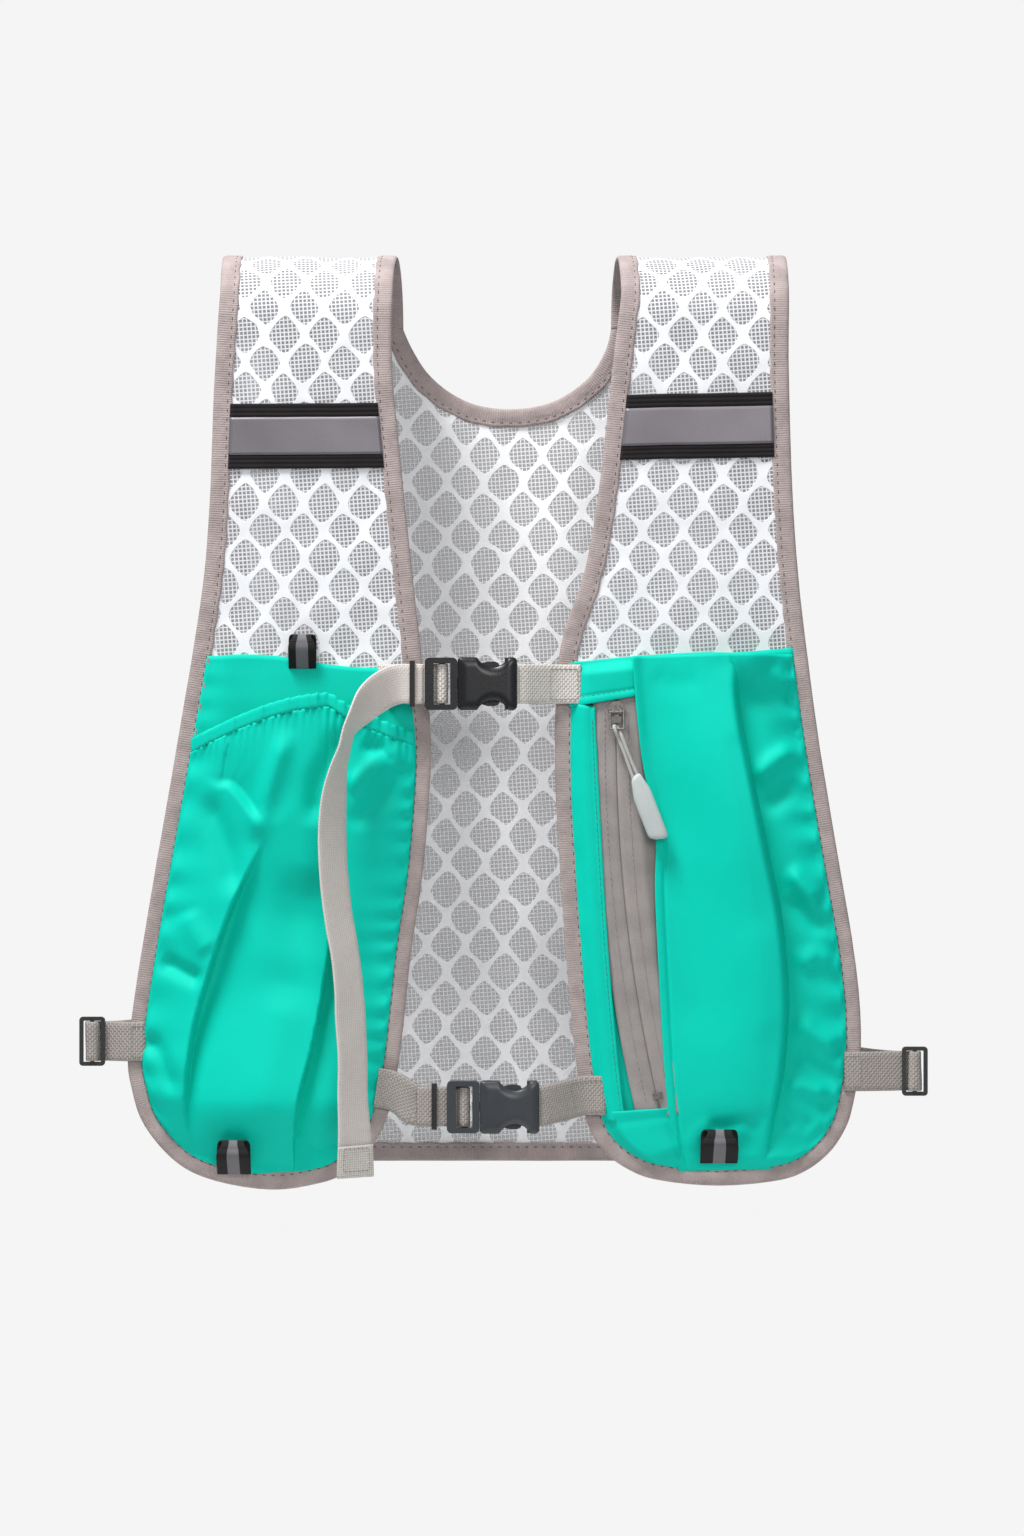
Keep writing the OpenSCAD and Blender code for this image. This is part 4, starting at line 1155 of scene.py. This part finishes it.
def bottle_puckers(x, z, v):
    """The small waves where the cloth is drawn in at its side seams and by its elastic mouth."""
    from_left, from_right = x - x[:, :1], x[:, -1:] - x
    from_side = np.minimum(from_left, from_right)
    right = 1.5 * np.sin(z / 1.95 + 0.9 * np.sin(z / 9)) * np.exp(-from_right / 6.5)
    right = right * ease(from_right / 2.5) * ease((-250 - z) / 12)
    left = 1.2 * np.sin(z / 3.1 + np.sin(z / 13)) * np.exp(-from_left / 8) * ease(from_left / 2.5)
    along = x[0] / 0.82
    gather = np.sin(along * 1.32 + 0.7 * np.sin(along / 3.1))
    mouth = 0.6 * gather[None, :] * np.exp(-v * 60) * ease(from_side / 4)
    tight = np.exp(-((x[0] + 83) / 7) ** 2)
    mouth = mouth + 1.0 * (np.sin(x[0] * 1.9) * tight)[None, :] * np.exp(-v * 22)
    return right + left + mouth + ease(from_side / 12) * 0.8 * noise_grid(x, z, 30, 4.4)


def bottle_pocket():
    pocket_base("bottle_pocket_base", bottle_outline, BOTTLE_BASE_TOP, -463, "bottle_pocket_back", 3.0)
    left = part_of(bottle_outline, 7.6, (-157, -252), (-125, -463))
    right = part_of(bottle_outline, 7.6, (-44, -248), (-99, -462))
    x, level = between(left, right, 210, 150)
    u, v = shares(x)
    z = level + mouth_lift(u) * (1 - v) ** 3
    down = np.clip((MOUTH_Z - level) / (MOUTH_Z - POCKET_FOOT_Z), 0, 1)
    out = bottle_depth(u, down)
    out = out + step_fold(MAIN_FOLD[:MAIN_TURN + 1], x, z, 1.2, 4.5, 12, 14, 3.0, 0.5, 0.3)
    out = out + step_fold(MAIN_FOLD[MAIN_TURN:], x, z, 4.6, 7.0, 22, 13, 1.3, 0.25, 0.3)
    out = out + step_fold(SLIT[::-1], x, z, -7.5, -3.0, 10, 14, 0.7, 0.02, 0.2)
    out = with_crests(out, BOTTLE_CRESTS, x, z) + bottle_puckers(x, z, v)
    hem = ease((z + 463) / 10)
    out = POCKET_OUT - 0.35 + np.maximum(out, 0.1) * np.maximum(hem, 0.05)
    cloth_piece("bottle_pocket_front_cloth", x, z, out, 0.65, ("bottle_pocket_front",))
    elastic_channel(x[0], z[0], out[0])


def elastic_channel(x, z, out):
    """The gathered channel along the open pocket's mouth, with the elastic inside it."""
    mouth = spline(np.stack([x, z, out], 1)[::4], 3)
    line = even(mouth, 0.9)
    run = np.arange(len(line)) * 0.9
    rings, uv = [], []
    for k, (cx, cz, co) in enumerate(line):
        gather = math.sin(run[k] * 1.28 + 0.6 * math.sin(run[k] / 3.7))
        squeeze = ease(min(run[k], run[-1] - run[k]) / 5)
        tight = math.exp(-((cx + 82) / 9) ** 2)
        ring = []
        for w in around(20):
            up = 3.4 + 3.6 * math.sin(w)
            thick = 1.15 * math.cos(w) * (0.7 + 0.3 * abs(math.sin(w)))
            bump = (0.5 + 0.5 * tight) * gather * math.cos(w) * squeeze * (0.55 + 0.45 * math.sin(w - 0.6))
            slant = 0.3 * up * gather * 0.25
            rise = 0.35 * gather if up > 4 else 0.0
            ring.append((cx + slant, -FOLD_R - co - thick - 0.45 * bump, cz + up + rise))
            uv.append((run[k], up))
        rings.append(ring)
    points, faces = tube(rings)
    piece("bottle_mouth_channel", points, faces, GREEN, "pocket_cloth", uv=uv,
          stands_for=("bottle_pocket_elastic",))
    pocket_seam("bottle_mouth_stitches", [(cx, -FOLD_R - co - 0.75, cz + 0.7) for cx, cz, co in line[4:-4]],
                pitch=2.7, length=1.9)


bottle_pocket()


# ---- Zipped pocket -----------------------------------------------------------------
PLEAT_LEFT = [(64.3, -203), (65.3, -220), (68.8, -253.5), (73.5, -277), (76, -296), (75.5, -320), (77.5, -363),
              (80, -407), (83.5, -442), (87.5, -461)]
PLEAT_RIGHT = [(117, -201.5), (119.5, -231), (125, -261), (133, -300), (140.5, -338), (143.5, -376), (141, -412),
               (136, -438), (134, -460)]
GUSSET_LEFT = [(112, -201.5), (114.5, -231), (120, -261), (128, -300), (134, -338), (137, -376), (135, -412),
               (130, -438), (128, -460)]
ZIP_BASE_TOP = [(10, -206), (39, -205.5), (64, -203), (98, -201), (117, -201), (141, -199), (170, -197)]
PLEAT_BULGE = 14.5
TRIM_OUT = 5.2


def pleat_fade(v):
    return ease(np.minimum(v, 0.3) / 0.3) * 0.55 + 0.45 - 0.9 * (np.maximum(0, v - 0.3) / 0.7) ** 2


PLEAT_CRESTS = (
    ([(100, -436), (108, -438.5), (120, -436), (128, -441)], -1.4, 3.2),
    ([(92, -452), (97, -441), (106, -437)], 0.9, 4),
    ([(134, -428), (125, -440), (121, -455)], -1.0, 4),
    ([(72, -212), (84, -217), (100, -214)], -0.7, 6),
    ([(110, -206), (113, -225), (116, -250)], 0.8, 6),
    ([(126, -330), (130, -365), (129, -400)], 1.0, 9),
    ([(96, -300), (100, -350), (99, -400)], -0.8, 14))
GUSSET_CRESTS = (
    ([(122, -266), (134, -256), (147, -248)], 2.2, 4.5),
    ([(128, -282), (140, -272), (150, -262)], -2.0, 4.5),
    ([(142, -214), (146, -224), (151, -232)], -1.8, 4),
    ([(134, -206), (141, -216), (146, -226)], 1.6, 5),
    ([(141, -308), (150, -318), (160, -327)], 2.4, 4.5),
    ([(140, -322), (150, -332), (163, -340)], -2.2, 4.5),
    ([(146, -360), (156, -352), (167, -356)], 1.8, 5),
    ([(146, -382), (156, -392), (169, -402)], 2.2, 5),
    ([(144, -400), (154, -408), (168, -414)], -2.0, 4.5),
    ([(140, -420), (150, -418), (163, -424)], 1.6, 4),
    ([(138, -436), (147, -436), (156, -440)], -1.4, 4))


def pleat():
    """The pocket's raised front; returns the height and the distance out of its free edge."""
    x, z = between(spline(PLEAT_LEFT), spline(PLEAT_RIGHT), 150, 84)
    u, v = shares(x)
    rise = PLEAT_BULGE * ease((u - 0.1) / 0.7) * pleat_fade((-202 - z) / 253)
    out = 1.5 + mix(3.7, 1.2, ease((v - 0.86) / 0.14)) + rise
    width = x[:, -1:] - x[:, :1]
    from_left, from_right = u * width, (1 - u) * width
    lip = mix(2.1, 1.0, ease((v - 0.1) / 0.12)) * np.exp(-(from_left / 3.6) ** 2)
    out = out + lip * ease(1.6 - 1.6 * v)
    out = out - 0.9 * np.exp(-((from_left - 4.6) / 0.8) ** 2) * ease((v - 0.2) / 0.2)
    out = with_crests(out, PLEAT_CRESTS, x, z)
    out = out + 0.8 * noise_grid(x, z, 38, 2.4) * ease(from_left / 12) * ease(from_right / 8)
    fold_back = np.exp(-(from_right / 2.6) ** 2) * ease(v / 0.1)
    out = out * (1 - 0.84 * fold_back)
    out = 1.2 + (out - 1.2) * np.maximum(ease((z + 462) / 9), 0.08)
    cloth_piece("zip_pocket_pleat_cloth", x, z, out, 0.65, ("zip_pocket_pleat",))
    return z[:, -1], out[:, -1]


def gusset(edge_z, edge_out):
    """The pocket's side cloth, from under the pleat's free edge out to the binding."""
    outer = part_of(zip_outline, 7.6, (148.5, -201), (128, -459.5))
    x, z = between(spline(GUSSET_LEFT), outer, 150, 56)
    u, _ = shares(x)
    high = np.interp(z.ravel(), edge_z[::-1], edge_out[::-1]).reshape(z.shape)
    out = mix(np.maximum(high + 0.4, 1.6), 1.4, ease((u - 0.3) / 0.7)) + 2.2 * np.sin(math.pi * u)
    from_outer = (1 - u) * (x[:, -1:] - x[:, :1])
    pucker = 1.8 * np.sin(z / 2.5 + 0.8 * np.sin(z / 11) + u) * np.exp(-from_outer / 7)
    out = out + pucker * ease(from_outer / 2.2)
    out = with_crests(out, GUSSET_CRESTS, x, z, 1.7, 0.3)
    out = out + ease(from_outer / 3) * ease(u / 0.15) * 1.4 * noise_grid(x, z, 18, 8.8)
    out = 1.15 + np.maximum(out - 1.15, 0.05) * np.maximum(ease((z + 462) / 9), 0.05)
    cloth_piece("zip_pocket_gusset_cloth", x, z, out, 0.65, ("zip_pocket_gusset",))


def strip_cloth():
    """The narrow strip beside the zip."""
    inner = part_of(zip_outline, 7.8, (34, -227), (49, -436))
    right = [(45.5, -228.5), (47.5, -270), (51.5, -340), (56, -395), (60.5, -436)]
    x, z = between(inner, spline(right), 110, 16)
    u, _ = shares(x)
    out = mix(1.1, TRIM_OUT, ease(u / 0.55)) + 0.25 * np.sin(z / 3.4) * np.exp(-u * 6)
    out = out + 0.3 * noise_grid(x, z, 14, 1.9) - 0.35 * np.exp(-((u - 0.8) / 0.05) ** 2)
    cloth_piece("zip_strip_cloth", x, z, out, 0.7, ("zip_pocket_strip",))
    col = 13
    pocket_seam("zip_strip_stitches",
                [(x[k, col], -FOLD_R - out[k, col] - 0.45, z[k, col]) for k in range(3, 108)])


def tab_cloth():
    """The hemmed tab above the zip."""
    x, z = between([(33.5, -206.2), (32.5, -228.5)], [(66, -203.5), (69, -222.5)], 34, 42)
    u, v = shares(x)
    out = mix(1.3, 5.9, ease(u / 0.3)) - 1.1 * ease((u - 0.8) / 0.2)
    out = mix(1.8, out, ease(v / 0.35))
    out = out + 0.4 * np.exp(-((v - 0.93) / 0.07) ** 2) - 0.4 * np.exp(-((v - 0.80) / 0.035) ** 2)
    out = out + 0.5 * noise_grid(x, z, 13, 5.2)
    cloth_piece("zip_tab_cloth", x, z, out, 0.9, ("zip_pocket_top_tab",))
    row = 27
    pocket_seam("zip_tab_stitches",
                [(x[row, c], -FOLD_R - out[row, c] - 0.5, z[row, c]) for c in range(4, 41)],
                pitch=2.6, length=1.8)


def foot_cloth():
    """The sewn-down foot below the zip tapes."""
    inner = part_of(zip_outline, 7.8, (49, -431), (88, -462))
    x, z = between(inner, [(84, -429), (86.5, -444), (90.5, -461)], 40, 44)
    u, v = shares(x)
    out = mix(1.1, TRIM_OUT + 0.45, ease(u / 0.22)) - 1.6 * ease((u - 0.8) / 0.2)
    out = mix(out, 1.3, ease((v - 0.55) / 0.45)) + 0.4 * noise_grid(x, z, 12, 6.1)
    out = out + 0.35 * np.exp(-(v / 0.05) ** 2) - 0.4 * np.exp(-((v - 0.13) / 0.05) ** 2)
    cloth_piece("zip_foot_cloth", x, z, out, 0.7, ())


pocket_base("zip_pocket_base", zip_outline, ZIP_BASE_TOP, -461, "zip_pocket_back", 6.0)
gusset(*pleat())
strip_cloth()
tab_cloth()
foot_cloth()


# ---- Zip ---------------------------------------------------------------------------
ZIP_TOP, ZIP_MID, ZIP_END = (56.5, -224.0), (61.5, -335.0), (77.0, -426.0)
TAPE_FRONT = 5.0        # distance of the tapes' face outside the shell
SLIDER_AT = -231.0


def circle_through(a, b, c):
    d = 2 * (a[0] * (b[1] - c[1]) + b[0] * (c[1] - a[1]) + c[0] * (a[1] - b[1]))
    q = [p[0] ** 2 + p[1] ** 2 for p in (a, b, c)]
    x = (q[0] * (b[1] - c[1]) + q[1] * (c[1] - a[1]) + q[2] * (a[1] - b[1])) / d
    z = (q[0] * (c[0] - b[0]) + q[1] * (a[0] - c[0]) + q[2] * (b[0] - a[0])) / d
    return x, z, math.hypot(a[0] - x, a[1] - z)


ZIP_X, ZIP_Z, ZIP_R = circle_through(ZIP_TOP, ZIP_MID, ZIP_END)


def zip_line(z, offset=0.0):
    """The point of the zip's line at height z, moved sideways towards the vest's middle by offset."""
    turn = math.asin((ZIP_Z - z) / ZIP_R)
    r = ZIP_R + offset
    return ZIP_X - r * math.cos(turn), ZIP_Z - r * math.sin(turn)


def zip_tapes():
    """The two tapes, from the zip's line out to both sides, sewn down at a share of their width."""
    heights = np.linspace(-222.5, -434, 130)
    for name, node, a, b, sewn in (("zip_tape_inner_cloth", "zip_tape_inner", 0.12, 12.0, 0.48),
                                   ("zip_tape_outer_cloth", "zip_tape_outer", -0.12, -19.0, 0.31)):
        share = np.linspace(0, 1, 18)
        flat = [[zip_line(h, mix(a, b, t)) for t in share] for h in heights]
        x = np.array([[p[0] for p in r] for r in flat])
        z = np.array([[p[1] for p in r] for r in flat])
        roll = np.exp(-(np.abs(share * (b - a)) / 1.0) ** 2)
        out = TAPE_FRONT - 0.35 - 0.5 * roll[None, :] + 0.3 * noise_grid(x, z, 16, 7.7) * share[None, :]
        out = out - 2.4 * ease((share - 0.55) / 0.3)[None, :] * (a < 0) - 1.0 * ease((share - 0.75) / 0.25)[None, :]
        wide = 0.25 * np.sin(z / 3.3) * share[None, :] * (0.5 + 0.5 * noise_grid(x, z, 20, 3.7))
        cloth_piece(name, x, z, out + wide, 0.55, (node,), ZIP_TWILL, "zip_tape")
        at = [zip_line(h, mix(a, b, sewn)) for h in heights[4:-4]]
        pocket_seam(name.replace("cloth", "stitches"),
                    [(px, -FOLD_R - TAPE_FRONT - 0.1, pz) for px, pz in at], COIL, "zip_tape",
                    pitch=3.2, length=2.2)


# One tooth: distance from the zip's line, and y.
TOOTH = ((2.2, -36.5), (1.3, -36.35), (0.75, -36.7), (1.3, -37.05), (2.2, -36.95))
TOOTH_PITCH, TOOTH_R = 1.5, 0.3


def zip_coils():
    """The two rows of coil teeth behind the tapes, each tooth a small bent loop."""
    up = np.array((0, 0, 1.0))
    for name, node, side, top in (("zip_teeth_inner", "zip_coil_inner", 1, -226),
                                  ("zip_teeth_outer", "zip_coil_outer", -1, -226 - TOOTH_PITCH / 2)):
        parts = []
        for h in np.arange(top, -424, -TOOTH_PITCH):
            base = [(zip_line(h, side * o), y) for o, y in TOOTH]
            path = [np.array((p[0], y, p[1])) for p, y in base]
            rings = []
            for i, p in enumerate(path):
                ahead = unit(path[min(len(path) - 1, i + 1)] - path[max(0, i - 1)])
                across = unit(np.cross(ahead, up))
                rings.append([p + TOOTH_R * (math.cos(w) * across + math.sin(w) * up) for w in around(6)])
            parts.append(tube(rings))
        points, faces = joined(parts)
        piece(name, points, faces, COIL, "zip_tape", stands_for=(node,))


zip_tapes()
zip_coils()


# ---- Pull cord and grip ------------------------------------------------------------
BAIL_DROP, BAIL_LEAN, PULL_TILT = 9.0, 20.0, 22.0
PULL_CORD_L, PULL_GRIP_L = 25.0, 34.0
slider_turn = math.asin((ZIP_Z - SLIDER_AT) / ZIP_R)
slider_x = ZIP_X - ZIP_R * math.cos(slider_turn)
MESH_FACE, TAPE_IN, TAPE_T, SLIDER_PLAY, SLIDER_PLATE, BAIL_OUT = -33.6, 3.8, 0.6, 0.3, 0.9, 2.1
BAIL_Y = MESH_FACE - TAPE_IN - TAPE_T - SLIDER_PLAY - SLIDER_PLATE - BAIL_OUT
lean = math.radians(BAIL_LEAN)
PULL_FRAME = (Matrix.Translation((slider_x, 0, SLIDER_AT)) @ Matrix.Rotation(-slider_turn, 4, "Y")
              @ Matrix.Translation((0, BAIL_Y - BAIL_DROP * math.sin(lean), -BAIL_DROP * math.cos(lean)))
              @ Matrix.Rotation(-math.radians(PULL_TILT), 4, "Y"))


def in_pull(points):
    return [tuple(PULL_FRAME @ Vector(p)) for p in points]


def pull_cord():
    """The knotted cord through the bail, down both its sides into the grip."""
    radius, step = 0.85, 0.6
    half = [(1.25, 0, -PULL_CORD_L - 2), (1.0, 0.1, -PULL_CORD_L + 6), (0.85, -0.2, -PULL_CORD_L + 14),
            (0.95, 0, -4.5)]
    over = [(0.9, 0.9, -2.0), (0.75, 1.55, -0.2), (0.0, 1.55, 1.0), (-0.7, 0.2, 1.75), (-0.9, -1.3, 0.8),
            (-1.0, -1.3, -1.6)]
    left = [(-x, y * 0.5 + 0.25, z) for x, y, z in half[::-1]]
    line = even(spline(half + over + left, 5), step)
    ahead = tangents(line)
    side = unit(np.cross(ahead, np.array([[0.1, 1.0, 0.05]])))
    up = np.cross(side, ahead)
    rings, uv = [], []
    for k, (p, s, n) in enumerate(zip(line, side, up)):
        rings.append([p + radius * (math.cos(w) * s + math.sin(w) * n) for w in around(12)])
        uv += [(w / 3, k * step) for w in around(12)]
    points, faces = tube(rings)
    piece("pull_cord_loop", in_pull(points), faces, CORD, "pull_cord", uv=uv, body="zip_pull",
          stands_for=("zip_pull_cord",))


def pull_grip():
    """The moulded grip: a leaf, wider towards its foot, with a shallow groove down its front."""
    rings = []
    for t in np.linspace(0, 1, 40):
        z = -PULL_CORD_L - PULL_GRIP_L * t
        end = (1 - (2 * t - 1) ** 22) ** 0.5 if 0 < t < 1 else 0.25
        half_w = mix(3.0, 4.9, ease(t / 0.35)) * max(end, 0.45)
        half_t = 1.9 * max(end, 0.35)
        bow_out = 0.8 * math.sin(math.pi * t)
        deep = 0.9 * math.sin(math.pi * min(1, t * 1.05)) ** 0.5
        ring = []
        for w in around(32):
            cx, cy = math.cos(w), math.sin(w)
            px = half_w * math.copysign(abs(cx) ** 0.6, cx)
            py = half_t * math.copysign(abs(cy) ** 0.75, cy)
            groove = deep * math.exp(-((px - 1.4) / 0.8) ** 2) if cy < 0 else 0.0
            ring.append((px, py - bow_out + 0.5 * (px / 5) ** 2 + groove,
                         z + 0.42 * px * (1 - t) - 0.3 * px * t))
        rings.append(ring)
    points, faces = tube(rings)
    piece("pull_grip_tab", in_pull(points), faces, GRIP, "pull_grip", body="zip_pull",
          stands_for=("zip_pull_grip",))


pull_cord()
pull_grip()


# ---- Ribbon loops ------------------------------------------------------------------
def loop(name, node, x, width, path):
    """A ribbon loop from its path in y and z, drawn in at its bend and sewn at its back leg."""
    _, line, sides, out = ribbon(
        name, [(x, y, z) for y, z in path], [(1, 0, 0)] * len(path), width, 0.8, RIBBON, "loop_ribbon",
        step=0.5, stands_for=(node,), pinch=lambda t: 0.34 * math.exp(-((t - 0.5) / 0.09) ** 2))
    sewn = slice(2, 9)
    for label, side in (("a", -1), ("b", 1)):
        at = line[sewn] + sides[sewn] * side * (width / 2 - 1.1) + out[sewn] * 0.5
        seam(f"{name}_stitches_{label}", at, out[sewn], THREAD_TAUPE, "loop_ribbon", pitch=1.9,
             length=1.3, radius=0.2)


def bow(y, z, r, start=0.0, stop=180.0, steps=8):
    """Points of an arc, with its angles in degrees."""
    return [(y + r * math.cos(math.radians(w)), z + r * math.sin(math.radians(w)))
            for w in np.linspace(start, stop, steps + 1)]


LOOP_R = 3.6
loop("bottle_top_ribbon", "bottle_top_loop", -101, 14,
     [(-34.1, -206), (-34.1, -196.5)] + bow(-34.1 - LOOP_R, -196, LOOP_R)
     + [(-41.1, -200), (-37, -206.5), (-35.2, -209)])


def hem_ribbon(name, node, x, width, z, leg_y):
    loop(name, node, x, width, [(-38.4, z - 17), (leg_y, z - 9), (leg_y, z - LOOP_R - 0.6)]
         + bow(leg_y - LOOP_R, z - LOOP_R, LOOP_R) + [(leg_y - 2 * LOOP_R, z - 8), (-38.6, z - 17)])


hem_ribbon("bottle_hem_ribbon", "bottle_hem_loop", -135, 17, -445, -42.5)
hem_ribbon("zip_hem_ribbon", "zip_hem_loop", 107.5, 19, -439.5, -44)


# ---- Webbing -----------------------------------------------------------------------
# Bars of the male and the female halves: distance from the buckle's mouth, and radius.
BAR_S, BAR_R, END_BAR_S, END_BAR_R = -7.9, 1.5, 27.4, 1.4
WRAP = BAR_R + 0.3 + WEBBING_T / 2


def lifted(points, z):
    return [(x, y, z) for x, y in points]


def female_loop(x, z):
    return lifted(bow(x + END_BAR_S, STRAP_Y, END_BAR_R + 0.25 + WEBBING_T / 2, 90, 270, 10), z)


def male_loop(x, z):
    return lifted(bow(x + BAR_S, STRAP_Y, WRAP, 90, -180, 14)
                  + [(x - 11.3, STRAP_Y + 0.75), (x - 13, STRAP_Y + 1)], z)


def strap(name, node, path, material=WEBBING, wave=0.3, **kw):
    return ribbon(name, path, [(0, 0, 1)] * len(path), WEBBING_W, WEBBING_T, material, "webbing", wave=wave,
                  stands_for=(node,), **kw)


def sewn_end(name, line, sides, out, start, end, near, towards):
    """Box stitching on the face that looks towards 1 (behind) or -1 (in front) at the point near."""
    face = 1 if out[near][1] * towards > 0 else -1
    sewn_box(name, line, sides, out, start, end, 7.6, face)


def chest_straps():
    z = CHEST_Z
    _, line, sides, out = strap("chest_strap_fixed", "chest_webbing_fixed", [
        (38.5, -35.2, z), (29, -35.2, z), (23, -36.6, z), (16, -40.4, z), (10, -42.2, z)]
        + female_loop(CHEST_MOUTH_X, z)
        + [(10, -46.6, z), (17, -42.4, z), (24, -38.4, z), (29.5, -36.6, z), (38.5, -36.5, z)])
    sewn_end("chest_strap_stitches", line, sides, out, 0.80, 0.985, -2, -1)
    base, *_ = strap("chest_strap_base", "chest_webbing_base", [
        (-63, -35.3, z), (-59, -35.9, z), (-55.5, -39.2, z), (-53, -42, z), (-50.5, -42.6, z), (-47, -42.6, z)]
        + male_loop(CHEST_MOUTH_X, z) + [(TAIL_ROUTE[0][0], STRAP_Y + 1, z)], body=None, wave=0.0)
    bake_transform(base)


def waist_straps():
    z = WAIST_Z
    rise = 5.0
    _, line, sides, out = strap("waist_strap_fixed", "waist_webbing_fixed", [
        (51, -35.2, z + rise), (41, -35.2, z + rise), (35, -36.6, z + 4), (28, -40.4, z + 2.5),
        (21, -42.2, z + 0.8)]
        + female_loop(WAIST_MOUTH_X, z)
        + [(21, -46.6, z + 0.8), (29, -42.4, z + 2.5), (36, -38.4, z + 4), (41.5, -36.6, z + rise),
           (51, -36.5, z + rise)], WEBBING_DARK)
    sewn_end("waist_strap_stitches", line, sides, out, 0.80, 0.985, -2, -1)
    base, *_ = strap("waist_strap_base", "waist_webbing_base", [
        (-64, -36, z + 9), (-58, -36.2, z + 8), (-53, -38.4, z + 6), (-47.5, -41.6, z + 2.2),
        (-44, -42.5, z + 0.3), (-41.5, -42.6, z), (-38, -42.6, z)] + male_loop(WAIST_MOUTH_X, z)
        + [(-32, -44, z), (-38, -44.2, z), (-43.5, -44.1, z)], WEBBING_DARK, body=None, wave=0.0)
    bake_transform(base)


# The turn through the slider: distance outwards, and y.
SIDE_LINE = [(-3.5, -31.4), (-2.5, -33.4), (-1.6, -34.7), (-0.6, -34.95), (1, -34.95), (2.4, -34), (2.9, -32),
             (2.6, -30), (1, -29.2), (-4, -29), (-11, -26)]


def side_strap(name, node, at, side, edge, back_edge):
    """A side strap from the front panel's edge, through its slider and back to the back panel."""
    line = ([(-edge - 8.5, -35.3), (-edge, -35.3), (-edge * 0.5 - 3.5, -33), (-7.5, -31), (-4.7, -30.8)]
            + SIDE_LINE
            + [(-back_edge * 0.55, -12), (-back_edge * 0.78, 6), (-back_edge + 4, 20), (-back_edge + 2, 29),
               (-back_edge + 1.8, 34), (-back_edge + 0.4, 35.7), (-back_edge - 3, 35.6), (-back_edge - 10, 35.4)])
    made, path, sides, out = strap(name, node, [(at[0] + side * x, y, at[1]) for x, y in line], WEBBING_DARK,
                                   body=None, wave=0.5)
    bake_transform(made)
    sewn_end(f"{name}_stitches", path, sides, out, 0.005, 0.06, 2, -1)
    sewn_end(f"{name}_back_stitches", path, sides, out, 0.93, 0.99, -3, 1)


chest_straps()
waist_straps()
side_strap("bottle_side_webbing", "bottle_side_strap", (-206.5, -396), -1, 18, 36.5)
side_strap("zip_side_webbing", "zip_side_strap", (206, -411), 1, 27, 34)


# ---- Hard parts --------------------------------------------------------------------
def finish_node(node, material, round_off, segments=3):
    """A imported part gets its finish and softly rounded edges; its shape stays."""
    part = NODES[node]
    part.data.materials.clear()
    part.data.materials.append(material)
    part.data.polygons.foreach_set("use_smooth", [True] * len(part.data.polygons))
    edge = part.modifiers.new("soft_edges", "BEVEL")
    edge.width = round_off * MM
    edge.segments = segments
    edge.limit_method = "ANGLE"
    edge.angle_limit = math.radians(38)
    edge.harden_normals = True


CROWN_L, CROWN_HALF, CROWN_CORNER = 29.4, 13.0, 2.0
CROWN_WAIST, NOTCH_S, NOTCH_R = 8.2, 17.4, 9.0
CROWN_RISE, CROWN_EDGE = 1.5, 4.5


def crown_half(a):
    """Half the buckle's height at a distance a from its mouth: round corners and a round notch."""
    half = CROWN_HALF
    dip = NOTCH_R ** 2 - (a - NOTCH_S) ** 2
    if dip > 0:
        half = min(half, CROWN_WAIST + NOTCH_R - math.sqrt(dip))
    past = CROWN_CORNER - min(a, CROWN_L - a, CROWN_CORNER)
    corner = CROWN_HALF - CROWN_CORNER + math.sqrt(max(0.0, CROWN_CORNER ** 2 - past ** 2))
    return min(half, corner)


def crown(name, x, z, material):
    """The softly domed front of a buckle's female half, waisted like the body under it."""
    rows, flat = [], []
    for a in np.linspace(0.15, CROWN_L - 0.1, 44):
        half = crown_half(a)
        line = np.linspace(0.08 - half, half - 0.08, 29)
        edge = [min(half - abs(h), a - 0.1, CROWN_L - a) for h in line]
        rise = [CROWN_RISE * (1 - (1 - min(d, CROWN_EDGE) / CROWN_EDGE) ** 2) for d in edge]
        rows.append([(x + a, STRAP_Y - 4.05 - lift, z + h) for h, lift in zip(line, rise)])
        flat.append([(a, h) for h in line])
    cloth_grid(name, rows, material, "buckle_plastic", flat, 0.9)


crown("chest_buckle_crown", CHEST_MOUTH_X, CHEST_Z, BUCKLE_BLACK)
crown("waist_buckle_crown", WAIST_MOUTH_X, WAIST_Z, BUCKLE_SLATE)
for strap_name, material in (("chest", BUCKLE_BLACK), ("waist", BUCKLE_SLATE)):
    finish_node(f"{strap_name}_buckle_female", material, 0.8)
    finish_node(f"{strap_name}_buckle_male", material, 0.6)
    finish_node(f"{strap_name}_prong_upper", material, 0.6)
    finish_node(f"{strap_name}_prong_lower", material, 0.6)
    finish_node(f"{strap_name}_keeper", ELASTIC, 0.3)
for node in ("bottle_side_slider", "zip_side_slider"):
    finish_node(node, SLIDER_PLASTIC, 0.5)
for node in ("zip_slider", "zip_bail"):
    finish_node(node, METAL, 0.15, 2)
finish_node("zip_bottom_stop", METAL, 0.2, 2)
